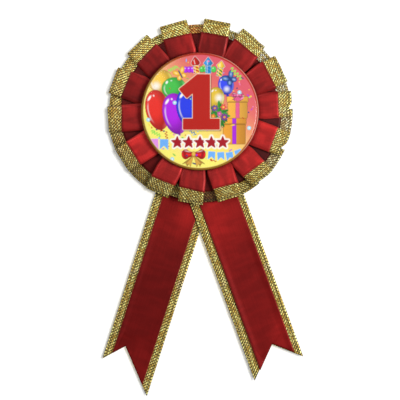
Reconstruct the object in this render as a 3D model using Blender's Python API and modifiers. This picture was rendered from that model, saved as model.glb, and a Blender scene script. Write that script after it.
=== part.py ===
"""Award ribbon: a button badge on a pleated ribbon rosette, with two ribbon tails and a bar pin behind.

Frame: metres, X to the right as seen from the front, Z up, the front faces -Y.
The origin is the centre of the backing felt's rear face, straight behind the middle of the button.
"Height" below means distance forward from that rear face, towards -Y.
"""

import math

import bpy
import bmesh
from mathutils import Matrix, Vector

MM = 0.001
GAP = 0.3 * MM  # clearance between neighbouring solids
TURN_STEPS = 40  # facets round every large turned piece

# Ribbon stock, laid in two layers everywhere: wide lurex below, narrower satin on top.
LUREX_WIDTH = 25.6 * MM
SATIN_WIDTH = 18.3 * MM
RIBBON_THICK = 0.3 * MM

# Layer heights from the back to the front.
FELT_RADIUS, FELT_THICK = 28.0 * MM, 1.2 * MM
TAIL_FIRST = FELT_THICK + GAP  # height of the rearmost tail ribbon
TAIL_STEP = RIBBON_THICK + GAP
TAIL_GLUE = TAIL_FIRST + 4 * TAIL_STEP
CARD_HEIGHT = TAIL_GLUE + RIBBON_THICK + GAP
CARD_RADIUS, CARD_THICK = 29.0 * MM, 0.8 * MM
TAIL_PAD = (14 * MM, 12 * MM)  # length and width of the glue between the crossed tails and the card
FELT_BEAD_INNER, FELT_BEAD_OUTER = 17.0 * MM, 22.0 * MM  # the arc of glue between the felt and the card
FELT_BEAD_ANGLE = 100  # where it ends on both sides, in degrees from the top, clear of the tails
PLEAT_HEIGHT = CARD_HEIGHT + CARD_THICK + GAP  # rear of the lurex pleats

# The rosette: box pleats at these angles, in degrees clockwise from the top as seen from the front.
PLEAT_ANGLES = (11, 36, 62, 85, 111, 137, 161, 186, 208, 238, 265, 290, 317, 343)
PLEAT_INNER = 19.0 * MM
PLEAT_HALF_WIDTH = 6.1 * MM
LUREX_PANEL_REACH, LUREX_VALLEY_REACH = 43.4 * MM, 41.6 * MM
SATIN_PANEL_REACH, SATIN_VALLEY_REACH = 37.0 * MM, 35.6 * MM
PLEAT_ROWS = 3
SHEET_THICK = 0.4 * MM
FOOT_SPREAD = 0.15 * MM  # how far the foot of a panel's side stands out from its top edge
PANEL_RISE_INNER, PANEL_RISE_OUTER = 1.0 * MM, 2.4 * MM  # lurex panel top over the pleats' rear face
SATIN_LOFT_INNER, SATIN_LOFT_OUTER = 0.5 * MM, 1.1 * MM  # thickness of a satin panel

# Gathering thread that holds the pleats' inner edge.
THREAD_RADIUS, THREAD_RING = 0.3 * MM, 20.2 * MM

# The button badge.
BUTTON_RADIUS = 28.0 * MM
BUTTON_REAR = PLEAT_HEIGHT + 3.1 * MM
BUTTON_DEPTH = 5.4 * MM
BUTTON_CROWN = 1.4 * MM  # how far the face's middle stands over the start of the rim's curve
RIM_ROUND = 2.0 * MM
SKIN = 0.25 * MM  # film and paper thickness
SHELL_THICK = 0.35 * MM
FILM_TURN_IN, PAPER_TURN_IN, SHELL_TURN_IN = 1.6 * MM, 1.0 * MM, 1.6 * MM
BACK_RADIUS = 24.6 * MM
BACK_THICK = 0.4 * MM
GLUE_RADIUS = 17.5 * MM

# The tails: both cross at this point, each leaves it at its own tilt, in degrees from straight down.
TAIL_CROSSING = Vector((-1.1 * MM, 0, -17.2 * MM))
TAIL_TOP = -8.0 * MM  # distances along a tail, from the crossing
TAIL_BEND = 42.0 * MM
BEND_GAP = 0.6 * MM
# name: (tilt, first layer, left tip, notch, notch offset from the middle, right tip)
TAILS = {
    "left": (-17.8, 0, 107.8 * MM, 99.7 * MM, -4.2 * MM, 118.4 * MM),
    "right": (20.1, 2, 111.9 * MM, 99.1 * MM, 0.6 * MM, 108.9 * MM),
}

# The bar pin, lying along X on the upper part of the felt.
PIN_Z = 12.0 * MM
PIN_GLUE_THICK = 0.4 * MM
PIN_GLUE_MARGIN = 0.5 * MM
PLATE_LENGTH, PLATE_WIDTH, PLATE_THICK = 34.0 * MM, 5.0 * MM, 0.6 * MM
PLATE_REAR = GAP + PIN_GLUE_THICK + GAP + PLATE_THICK  # behind the felt, so along +Y
SEWING_HOLE_RADIUS, SEWING_HOLE_X = 0.9 * MM, 5.0 * MM
NEEDLE_Y = 4.6 * MM
NEEDLE_RADIUS, NEEDLE_TIP_X, NEEDLE_POINT = 0.45 * MM, 14.2 * MM, 3.0 * MM
HINGE_X = -13.5 * MM
EAR_THICK, EAR_INNER, EAR_RADIUS = 0.6 * MM, 1.5 * MM, 1.9 * MM
RIVET_RADIUS, RIVET_HEAD_RADIUS, RIVET_HEAD_THICK = 0.7 * MM, 1.25 * MM, 0.5 * MM
RIVET_CLEARANCE = 0.15 * MM
EYE_RADIUS, EYE_HALF_LENGTH = 1.6 * MM, 1.1 * MM
CATCH_X, CATCH_LENGTH = 12.2 * MM, 3.2 * MM
CATCH_OUTER, CATCH_BORE = 2.4 * MM, 1.85 * MM
CATCH_MOUTH = 35  # half angle of the mouth, in degrees
BARREL_OUTER, BARREL_BORE, BARREL_FLANGE = 1.55 * MM, 0.95 * MM, 2.3 * MM
FLANGE_THICK = 0.5 * MM
BARREL_TAB_ANGLE, BARREL_TAB_REACH, BARREL_TAB_WIDTH = -62, 4.3 * MM, 1.5 * MM
BARREL_TAB_THICK = 0.49 * MM  # just under the flange's, so that no two faces coincide
SLOT_CLEARANCE = 0.2 * MM
ROD_STEPS = 20  # facets round the pin's small round pieces

FRONT = Matrix.Rotation(math.radians(90), 4, "X")  # carries +Z forward, to -Y
LENGTHWISE = Matrix.Rotation(math.radians(90), 4, "Y")  # carries +Z along the pin, to +X


def clear_scene():
    for obj in list(bpy.data.objects):
        bpy.data.objects.remove(obj)


def collection(name):
    made = bpy.data.collections.new(name)
    bpy.context.scene.collection.children.link(made)
    return made


def material(name, colour, roughness, metallic=0.0):
    made = bpy.data.materials.new(name)
    made.use_nodes = True
    shader = made.node_tree.nodes["Principled BSDF"]
    shader.inputs["Base Color"].default_value = (*colour, 1)
    shader.inputs["Roughness"].default_value = roughness
    shader.inputs["Metallic"].default_value = metallic
    made.diffuse_color = (*colour, 1)
    return made


def add_object(name, mesh, mat):
    obj = bpy.data.objects.new(name, mesh)
    obj.data.materials.append(mat)
    PARTS.objects.link(obj)
    return obj


def bmesh_to_mesh(name, bm):
    bmesh.ops.recalc_face_normals(bm, faces=bm.faces)
    mesh = bpy.data.meshes.new(name)
    bm.to_mesh(mesh)
    bm.free()
    return mesh


def turned(name, profile, mat, matrix=FRONT, steps=TURN_STEPS):
    """Turns a profile of (radius, height) that runs down its outer side. The matrix places its axis."""
    mesh = bpy.data.meshes.new(name)
    closed = profile[0][0] > 0
    count = len(profile)
    edges = [(i, (i + 1) % count) for i in range(count if closed else count - 1)]
    mesh.from_pydata([(radius, 0, height) for radius, height in profile], edges, [])
    obj = add_object(name, mesh, mat)
    obj.matrix_world = matrix
    screw = obj.modifiers.new("turn", "SCREW")
    screw.steps = screw.render_steps = steps
    screw.use_merge_vertices = True
    screw.merge_threshold = 0.00001
    return obj


def disc_profile(radius, low, high):
    return [(0, high), (radius, high), (radius, low), (0, low)]


def dome_profile(inset, low):
    """The button's face, from its middle to the rim at height low, moved in by inset."""
    shoulder = BUTTON_RADIUS - RIM_ROUND
    top, rim = BUTTON_REAR + BUTTON_DEPTH - inset, RIM_ROUND - inset
    crown_steps, rim_steps = 5, 3
    points = []
    for step in range(crown_steps + 1):
        share = step / crown_steps
        points.append((shoulder * share, top - BUTTON_CROWN * share**2))
    for step in range(1, rim_steps + 1):
        a = math.radians(90 * step / rim_steps)
        points.append((shoulder + rim * math.sin(a), top - BUTTON_CROWN - rim * (1 - math.cos(a))))
    return points + [(shoulder + rim, low)]


def cup_profile(inset, thick, low, turn_in):
    """A thin domed cup whose edge turns in behind, as a closed loop from the middle out and back."""
    outer = dome_profile(inset, low)
    inner = dome_profile(inset + thick, low + thick)
    tip = BUTTON_RADIUS - inset - turn_in
    return outer + [(tip, low), (tip, low + thick)] + inner[::-1]


def flat_mesh(name, outlines, thickness):
    """A plate centred on its own XY plane.

    The first outline of (x, y) points is its edge, any others are holes.
    """
    curve = bpy.data.curves.new(name, "CURVE")
    curve.dimensions, curve.fill_mode, curve.extrude = "2D", "BOTH", thickness / 2
    for outline in outlines:
        spline = curve.splines.new("POLY")
        spline.points.add(len(outline) - 1)
        for point, (x, y) in zip(spline.points, outline):
            point.co = (x, y, 0, 1)
        spline.use_cyclic_u = True
    guide = bpy.data.objects.new(name + "_outline", curve)
    GUIDES.objects.link(guide)
    filled = bpy.data.meshes.new_from_object(guide.evaluated_get(bpy.context.evaluated_depsgraph_get()))
    bpy.data.objects.remove(guide)
    bm = bmesh.new()
    bm.from_mesh(filled)
    bmesh.ops.remove_doubles(bm, verts=bm.verts, dist=0.000001)
    bpy.data.meshes.remove(filled)
    made = bmesh_to_mesh(name, bm)
    made.materials.clear()
    return made


def flat_plate(name, outlines, thickness, mat, matrix):
    obj = add_object(name, flat_mesh(name, outlines, thickness), mat)
    obj.matrix_world = matrix
    return obj


def arc(radius, first, last, steps, centre=(0, 0)):
    """Points on an arc, angles in degrees from the local X axis."""
    angles = [math.radians(first + (last - first) * k / steps) for k in range(steps + 1)]
    return [(centre[0] + radius * math.cos(a), centre[1] + radius * math.sin(a)) for a in angles]


def slot_outline(length, width):
    """A strip with round ends."""
    middle = (length - width) / 2
    return arc(width / 2, -90, 90, 8, (middle, 0)) + arc(width / 2, 90, 270, 8, (-middle, 0))


def block(size, matrix):
    """A box of a size, centred on a matrix."""
    bm = bmesh.new()
    bmesh.ops.create_cube(bm, size=1, matrix=matrix @ Matrix.Diagonal((*size, 1)))
    return bmesh_to_mesh("block", bm)


def rod(radius, length, matrix):
    """A round rod, centred on a matrix and lying along its Z axis."""
    bm = bmesh.new()
    bmesh.ops.create_cone(
        bm, cap_ends=True, segments=ROD_STEPS, radius1=radius, radius2=radius, depth=length, matrix=matrix
    )
    return bmesh_to_mesh("rod", bm)


def combine(obj, operation, mesh, matrix=Matrix.Identity(4)):
    """Adds or cuts a closed tool by an exact Boolean."""
    tool = bpy.data.objects.new(f"{obj.name}_{mesh.name}", mesh)
    GUIDES.objects.link(tool)
    tool.matrix_world = matrix
    tool.hide_render = True
    tool.display_type = "WIRE"
    modifier = obj.modifiers.new(operation.lower(), "BOOLEAN")
    modifier.operation, modifier.object, modifier.solver = operation, tool, "EXACT"


def pleat_side(i, side):
    """Half the angle from pleat i to its neighbour on one side (-1 or 1), in radians."""
    count = len(PLEAT_ANGLES)
    step = side * (PLEAT_ANGLES[(i + side) % count] - PLEAT_ANGLES[i])
    return math.radians(step % 360) / 2


def pleat_surface(bm, reach, valley_reach, inset, panel_height, valley_height):
    """One side of a pleated ring: rows of points round the ring, four to a pleat.

    inset is how much narrower than the whole pleat the panel is, on each side.
    """
    rows = []
    for row in range(PLEAT_ROWS + 1):
        share = row / PLEAT_ROWS
        ring = []
        for i, degrees in enumerate(PLEAT_ANGLES):
            a = math.radians(degrees)
            out, around = Vector((math.sin(a), 0, math.cos(a))), Vector((math.cos(a), 0, -math.sin(a)))
            for side, foot in ((-1, True), (-1, False), (1, False), (1, True)):
                end = valley_reach if foot else reach
                rho = PLEAT_INNER + share * (end - PLEAT_INNER)
                room = rho * math.tan(pleat_side(i, side)) - 2 * GAP
                width = min(PLEAT_HALF_WIDTH, room) - inset + (FOOT_SPREAD if foot else 0)
                height = valley_height if foot else panel_height(share)
                ring.append(bm.verts.new(out * rho + around * side * width - Vector((0, height, 0))))
        rows.append(ring)
    return rows


def bridge(bm, first, second):
    count = len(first)
    for k in range(count):
        bm.faces.new((first[k], first[(k + 1) % count], second[(k + 1) % count], second[k]))


def pleated_ring(name, front, rear, mat):
    """A closed ring between two pleat surfaces, each given as pleat_surface's arguments."""
    bm = bmesh.new()
    sheets = [pleat_surface(bm, *front), pleat_surface(bm, *rear)]
    for rows in sheets:
        for k in range(PLEAT_ROWS):
            bridge(bm, rows[k], rows[k + 1])
    bridge(bm, sheets[0][0], sheets[1][0])
    bridge(bm, sheets[0][-1], sheets[1][-1])
    return add_object(name, bmesh_to_mesh(name, bm), mat)


def lurex_rise(share):
    return PLEAT_HEIGHT + PANEL_RISE_INNER + share * (PANEL_RISE_OUTER - PANEL_RISE_INNER)


def make_rosette(lurex, satin, card, felt, thread):
    turned("backing_felt", disc_profile(FELT_RADIUS, 0, FELT_THICK), felt)
    card_profile = disc_profile(CARD_RADIUS, CARD_HEIGHT, CARD_HEIGHT + CARD_THICK)
    turned("rosette_card", card_profile, card)
    valley = PLEAT_HEIGHT + SHEET_THICK
    lurex_inset = SHEET_THICK + GAP
    pleated_ring(
        "lurex_pleats",
        (LUREX_PANEL_REACH, LUREX_VALLEY_REACH, lurex_inset, lurex_rise, valley),
        (LUREX_PANEL_REACH, LUREX_VALLEY_REACH, lurex_inset, lambda share: PLEAT_HEIGHT, PLEAT_HEIGHT),
        lurex,
    )

    def satin_rear(share):
        return lurex_rise(share) + GAP

    def satin_front(share):
        loft = SATIN_LOFT_INNER + share * (SATIN_LOFT_OUTER - SATIN_LOFT_INNER)
        return satin_rear(share) + loft

    pleated_ring(
        "satin_pleats",
        (SATIN_PANEL_REACH, SATIN_VALLEY_REACH, 0, satin_front, valley + GAP + SHEET_THICK),
        (SATIN_PANEL_REACH, SATIN_VALLEY_REACH, SHEET_THICK, satin_rear, valley + GAP),
        satin,
    )
    thread_height = BUTTON_REAR - GAP - THREAD_RADIUS
    loop = []
    for step in range(8):
        a = math.radians(-45 * step)
        loop.append((THREAD_RING + THREAD_RADIUS * math.cos(a), thread_height + THREAD_RADIUS * math.sin(a)))
    turned("pleat_thread", loop, thread)


def make_button(film, paper, tin, plate, glue):
    turned("button_glue", disc_profile(GLUE_RADIUS, PLEAT_HEIGHT, BUTTON_REAR - GAP), glue)
    paper_inset = SKIN + GAP
    shell_inset = paper_inset + SKIN + GAP
    artwork = cup_profile(paper_inset, SKIN, BUTTON_REAR + paper_inset, PAPER_TURN_IN)
    shell = cup_profile(shell_inset, SHELL_THICK, BUTTON_REAR + shell_inset, SHELL_TURN_IN)
    turned("button_film", cup_profile(0, SKIN, BUTTON_REAR, FILM_TURN_IN), film)
    turned("button_artwork", artwork, paper)
    turned("button_shell", shell, tin)
    rear, front = BUTTON_REAR, BUTTON_REAR + BACK_THICK
    wall = BACK_RADIUS - BACK_THICK
    rim = BUTTON_REAR + shell_inset + SHELL_THICK + GAP
    cup = [
        (0, front), (wall, front), (wall, rim), (BACK_RADIUS, rim), (BACK_RADIUS, rear), (0, rear),
    ]
    turned("button_back", cup, plate)


def tail_frame(tilt, height, distance):
    """Places a flat outline at a distance along a tail: its -Y runs down the tail, its +Z faces front."""
    start = Matrix.Translation(TAIL_CROSSING + Vector((0, -height, 0)))
    turn = Matrix.Rotation(math.radians(tilt), 4, "Z")
    return start @ FRONT @ turn @ Matrix.Translation((0, -distance, 0))


def tail_end(half, tips):
    """The fishtail end of a ribbon of half width, from its right corner to its left along the cuts."""
    left_tip, notch, notch_x, right_tip = tips
    full = LUREX_WIDTH / 2

    def cut(x):
        tip, edge = (right_tip, full) if x > notch_x else (left_tip, -full)
        return notch + (tip - notch) * (x - notch_x) / (edge - notch_x)

    return [(half, cut(half)), (notch_x, notch), (-half, cut(-half))]


def make_tails(lurex, satin):
    """Each ribbon is two solids, above and below the line it bends at, because a rigid body can't bend."""
    ribbons = (("lurex", LUREX_WIDTH, lurex), ("satin", SATIN_WIDTH, satin))
    for side, (tilt, layer, *tips) in TAILS.items():
        hinge_height = TAIL_FIRST + (layer + 1) * TAIL_STEP - GAP / 2
        for k, (cloth, width, mat) in enumerate(ribbons):
            half = width / 2
            height = TAIL_FIRST + (layer + k) * TAIL_STEP + RIBBON_THICK / 2
            top = TAIL_BEND - TAIL_TOP
            upper = [(-half, top), (half, top), (half, BEND_GAP), (-half, BEND_GAP)]
            place = tail_frame(tilt, height, TAIL_BEND)
            flat_plate(f"{side}_tail_{cloth}_top", [upper], RIBBON_THICK, mat, place)
            end = [(x, TAIL_BEND - reach) for x, reach in tail_end(half, tips)]
            lower = [(-half, -BEND_GAP), (half, -BEND_GAP)] + end
            hinge = tail_frame(tilt, hinge_height, TAIL_BEND)
            moving = flat_plate(f"{side}_tail_{cloth}", [lower], RIBBON_THICK, mat, hinge)
            moving.data.transform(Matrix.Translation((0, 0, height - hinge_height)))


def make_card_glue(glue):
    """The hot-melt behind the card: a pad on the crossed tails, and an arc on the felt above them."""
    place = Matrix.Translation(TAIL_CROSSING + Vector((0, -TAIL_GLUE - RIBBON_THICK / 2, 0))) @ FRONT
    flat_plate("tail_glue", [slot_outline(*TAIL_PAD)], RIBBON_THICK, glue, place)
    low, high = FELT_THICK + GAP, CARD_HEIGHT - GAP
    first, last = 90 - FELT_BEAD_ANGLE, 90 + FELT_BEAD_ANGLE
    outline = arc(FELT_BEAD_OUTER, first, last, TURN_STEPS) + arc(FELT_BEAD_INNER, last, first, TURN_STEPS)
    middle = Matrix.Translation((0, -(low + high) / 2, 0)) @ FRONT
    flat_plate("felt_glue", [outline], high - low, glue, middle)


def rear_plane(y):
    """A place on the pin's middle line, at y behind the felt, whose XY plane is parallel to the felt."""
    return Matrix.Translation((0, y, PIN_Z)) @ FRONT


def make_pin_base(steel, glue):
    """The glued base plate with its sewing holes, and the two ears folded up from it."""
    pad = slot_outline(PLATE_LENGTH + 2 * PIN_GLUE_MARGIN, PLATE_WIDTH + 2 * PIN_GLUE_MARGIN)
    flat_plate("pin_glue", [pad], PIN_GLUE_THICK, glue, rear_plane(GAP + PIN_GLUE_THICK / 2))
    holes = [arc(SEWING_HOLE_RADIUS, 0, 345, 23, (x, 0)) for x in (-SEWING_HOLE_X, SEWING_HOLE_X)]
    outline = slot_outline(PLATE_LENGTH, PLATE_WIDTH)
    plate = flat_plate(
        "pin_base_plate", [outline, *holes], PLATE_THICK, steel, rear_plane(PLATE_REAR - PLATE_THICK / 2)
    )
    root = PLATE_REAR - PLATE_THICK / 2 - NEEDLE_Y
    edge = [(-EAR_RADIUS, root), (EAR_RADIUS, root)] + arc(EAR_RADIUS, 0, 180, 12)
    bore = arc(RIVET_RADIUS + RIVET_CLEARANCE, 0, 345, 23)
    for name, side in (("upper_ear", 1), ("lower_ear", -1)):
        place = Matrix.Translation((HINGE_X, NEEDLE_Y, PIN_Z + side * (EAR_INNER + EAR_THICK / 2)))
        combine(plate, "UNION", flat_mesh(name, [edge, bore], EAR_THICK), place)


def make_rivet(steel):
    outer = EAR_INNER + EAR_THICK + 2 * RIVET_CLEARANCE
    top = outer + RIVET_HEAD_THICK
    round_off = RIVET_HEAD_THICK / 2
    side = [(0, top), (RIVET_HEAD_RADIUS - round_off, top), (RIVET_HEAD_RADIUS, top - round_off)]
    side += [(RIVET_HEAD_RADIUS, outer), (RIVET_RADIUS, outer)]
    mirrored = [(radius, -height) for radius, height in side[::-1]]
    turned("pin_rivet", side + mirrored, steel, Matrix.Translation((HINGE_X, NEEDLE_Y, PIN_Z)), ROD_STEPS)


def make_needle(steel):
    """The wire with its point, and the rolled eye that turns on the rivet."""
    start = (EYE_RADIUS + RIVET_RADIUS + RIVET_CLEARANCE) / 2
    tip = NEEDLE_TIP_X - HINGE_X
    wire = [(0, tip), (NEEDLE_RADIUS / 4, tip - NEEDLE_RADIUS / 4), (NEEDLE_RADIUS, tip - NEEDLE_POINT)]
    wire += [(NEEDLE_RADIUS, start), (0, start)]
    hinge = Matrix.Translation((HINGE_X, NEEDLE_Y, PIN_Z))
    needle = turned("pin_needle", wire, steel, hinge @ LENGTHWISE, ROD_STEPS)
    combine(needle, "UNION", rod(EYE_RADIUS, 2 * EYE_HALF_LENGTH, Matrix.Identity(4)), hinge)
    bore = rod(RIVET_RADIUS + RIVET_CLEARANCE, 3 * EYE_HALF_LENGTH, Matrix.Identity(4))
    combine(needle, "DIFFERENCE", bore, hinge)


def make_catch(steel):
    """The fixed catch: an open collar on a foot, its mouth facing away from the felt."""
    mouth_rearward = Matrix.Rotation(math.radians(90), 4, "Z")
    middle = Matrix.Translation((CATCH_X, NEEDLE_Y, PIN_Z)) @ LENGTHWISE @ mouth_rearward
    collar = arc(CATCH_OUTER, CATCH_MOUTH, 360 - CATCH_MOUTH, 24)
    collar += arc(CATCH_BORE, 360 - CATCH_MOUTH, CATCH_MOUTH, 24)
    catch = flat_plate("pin_catch", [collar], CATCH_LENGTH, steel, middle)
    low, high = PLATE_REAR + GAP, NEEDLE_Y - (CATCH_OUTER + CATCH_BORE) / 2
    foot = Matrix.Translation((CATCH_X, (low + high) / 2, PIN_Z))
    combine(catch, "UNION", block((CATCH_LENGTH, high - low, 2 * CATCH_OUTER), foot))


def make_barrel(steel):
    """The turning safety lock inside the catch: a flange at each end, a thumb tab on the outer one."""
    inner = CATCH_LENGTH / 2 + GAP
    outer = inner + FLANGE_THICK
    profile = [
        (BARREL_BORE, outer), (BARREL_FLANGE, outer), (BARREL_FLANGE, inner), (BARREL_OUTER, inner),
        (BARREL_OUTER, -inner), (BARREL_FLANGE, -inner), (BARREL_FLANGE, -outer), (BARREL_BORE, -outer),
    ]
    middle = Matrix.Translation((CATCH_X, NEEDLE_Y, PIN_Z))
    barrel = turned("catch_barrel", profile, steel, middle @ LENGTHWISE, ROD_STEPS)
    turn = middle @ Matrix.Rotation(math.radians(BARREL_TAB_ANGLE), 4, "X")
    root = (BARREL_BORE + BARREL_FLANGE) / 2
    reach = Matrix.Translation(((inner + outer) / 2, (root + BARREL_TAB_REACH) / 2, 0))
    tab = block((BARREL_TAB_THICK, BARREL_TAB_REACH - root, BARREL_TAB_WIDTH), turn @ reach)
    combine(barrel, "UNION", tab)
    depth = 2 * BARREL_FLANGE
    width = 2 * (NEEDLE_RADIUS + SLOT_CLEARANCE)
    slot = block((3 * outer, depth, width), middle @ Matrix.Translation((0, depth / 2, 0)))
    combine(barrel, "DIFFERENCE", slot)


def main():
    satin = material("red_satin", (0.42, 0.012, 0.02), 0.38)
    lurex = material("gold_lurex", (0.48, 0.36, 0.09), 0.35, 0.6)
    felt = material("white_felt", (0.78, 0.76, 0.72), 0.95)
    card = material("grey_card", (0.55, 0.5, 0.42), 0.9)
    thread = material("red_thread", (0.4, 0.02, 0.03), 0.7)
    glue = material("clear_glue", (0.8, 0.76, 0.62), 0.3)
    tin = material("tinplate", (0.6, 0.6, 0.58), 0.3, 1.0)
    steel = material("plated_steel", (0.68, 0.67, 0.65), 0.22, 1.0)
    paper = material("printed_paper", (0.85, 0.45, 0.25), 0.5)
    film = material("clear_film", (0.9, 0.55, 0.35), 0.08)
    make_rosette(lurex, satin, card, felt, thread)
    make_button(film, paper, tin, steel, glue)
    make_tails(lurex, satin)
    make_card_glue(glue)
    make_pin_base(steel, glue)
    make_rivet(steel)
    make_needle(steel)
    make_catch(steel)
    make_barrel(steel)


clear_scene()
PARTS = collection("award_ribbon")
GUIDES = collection("cutters")
main()
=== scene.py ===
import math

import bmesh
import bpy
import numpy as np
from mathutils import Matrix, Vector


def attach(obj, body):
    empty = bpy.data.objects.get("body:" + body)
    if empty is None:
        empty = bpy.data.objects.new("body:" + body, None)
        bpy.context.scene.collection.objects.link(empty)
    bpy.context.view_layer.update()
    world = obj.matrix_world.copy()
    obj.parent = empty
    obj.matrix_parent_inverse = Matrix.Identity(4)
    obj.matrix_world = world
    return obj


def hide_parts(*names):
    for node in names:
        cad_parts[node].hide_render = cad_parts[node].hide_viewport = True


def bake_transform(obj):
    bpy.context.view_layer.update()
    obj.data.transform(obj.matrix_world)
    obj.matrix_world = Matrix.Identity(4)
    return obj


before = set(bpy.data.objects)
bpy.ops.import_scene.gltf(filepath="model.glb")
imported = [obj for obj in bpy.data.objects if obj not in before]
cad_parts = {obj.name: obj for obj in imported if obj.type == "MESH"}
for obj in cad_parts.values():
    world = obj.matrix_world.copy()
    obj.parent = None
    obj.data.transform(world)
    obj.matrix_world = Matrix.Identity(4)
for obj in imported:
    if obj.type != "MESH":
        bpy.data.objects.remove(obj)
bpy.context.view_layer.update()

# ---------------------------------------------------------------- sizes, in metres
MM = 0.001

# The rosette's plan: pleat angles in degrees clockwise from the top, seen from the front. They were
# measured on the photograph and rounded.
PLEAT_ANGLES = (11, 36, 62, 85, 111, 137, 161, 186, 208, 238, 265, 290, 317, 343)
PLEAT_INNER = 19.0 * MM
PLEAT_HALF_WIDTH = 6.3 * MM
LUREX_REACH, SATIN_REACH = 43.6 * MM, 37.2 * MM
PLEAT_UNDERFOLD = 3.6 * MM
# One entry per pleat: width share, forward tilt of its right side and of its outer edge in mm, brightness
# of its left and right half, brightness of its left and right fold, skew of its outer edge in degrees, and
# how far the gold's right end falls back in mm. The brightness follows the light on each panel in the
# photograph, and not the cloth's own colour.
PLEAT_SHAPES = (
    (1.03, 0.15, 0.0, 0.47, 0.42, 0.5, 0.9, 0.4, 0),
    (1.11, -0.3, 0.1, 0.55, 0.62, 0.2, 0.7, -3.5, 0.6),
    (1.10, 0.35, -0.1, 0.70, 0.60, 0.6, 0.3, -1.0, 0.3),
    (0.98, 0.1, 0.1, 0.74, 0.92, 0.4, 0.9, -2.5, 1.7),
    (0.98, -0.5, 0.3, 1.25, 0.90, 0.5, 0.6, 0.5, 1.8),
    (0.98, -0.45, 0.35, 1.25, 0.85, 0.7, 0.4, -6.0, 0.3),
    (0.97, -0.3, 0.2, 1.02, 0.82, 0.4, 0.6, -4.0, 0),
    (0.97, -0.1, 0.1, 0.62, 0.60, 0.7, 0.2, -8.0, 0),
    (0.95, 0.1, 0.0, 0.84, 0.74, 0.6, 0.3, 6.0, 0),
    (1.02, 0.2, 0.0, 1.02, 1.22, 0.4, 0.9, 0.3, 0),
    (1.0, 0.3, 0.0, 0.58, 0.72, 0.2, 0.9, -4.5, 0),
    (1.05, 0.35, -0.1, 0.34, 0.56, 0.2, 1.0, -2.0, 0),
    (1.06, 0.3, 0.0, 0.38, 0.56, 0.1, 1.0, 3.0, 0),
    (1.07, 0.2, 0.1, 0.42, 0.74, 0.1, 1.0, -3.5, 0),
)
# The reach in mm of the lurex and of the satin in the valley after each pleat.
VALLEY_REACHES = (
    (41.2, 37.1), (42.0, 36.7), (43.1, 37.3), (43.9, 38.6), (44.0, 39.0), (44.0, 38.6), (43.0, 38.0),
    (42.1, 35.8), (43.8, 37.4), (43.8, 37.8), (43.0, 37.5), (42.5, 36.6), (41.3, 37.3), (41.4, 37.3),
)
LUREX_WIDTH, SATIN_WIDTH = 25.6 * MM, 18.3 * MM

BUTTON_RADIUS, RIM_ROUND, BUTTON_CROWN = 28.0 * MM, 2.0 * MM, 1.4 * MM
BUTTON_REAR, BUTTON_FRONT = 8.7 * MM, 14.1 * MM
PIN_Z = 12.0 * MM
WALL_DISTANCE, WALL_HALF = 9 * MM, 0.32
LUREX_ROWS, SATIN_ROWS, TAIL_ROWS = 26, 20, 120
LAYER_STEP = 0.14 * MM  # from the pleats' own path to the lurex behind it and to the satin in front of it
FOLD_POINTS = 7
FACE_ROWS, FACE_COLUMNS = 118, 760
FILM_ROWS, FILM_COLUMNS = 60, 180

TAIL_CROSSING = Vector((-1.1 * MM, 0, -17.2 * MM))
TAIL_TOP, TAIL_BEND = -8.0 * MM, 42.0 * MM
# For each tail: its tilt in degrees, its layer, how far down its left tip and its notch are, the notch's
# place across, and how far down its right tip is.
TAILS = {
    "left": (-17.8, 0, 108.9 * MM, 99.9 * MM, -4.2 * MM, 119.6 * MM),
    "right": (20.1, 2, 112.9 * MM, 99.3 * MM, 0.6 * MM, 110.0 * MM),
}


def smooth(x, low=0.0, high=1.0):
    """0 below low, 1 above high, and a soft step between."""
    t = np.clip((x - low) / (high - low), 0, 1)
    return t * t * (3 - 2 * t)


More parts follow.
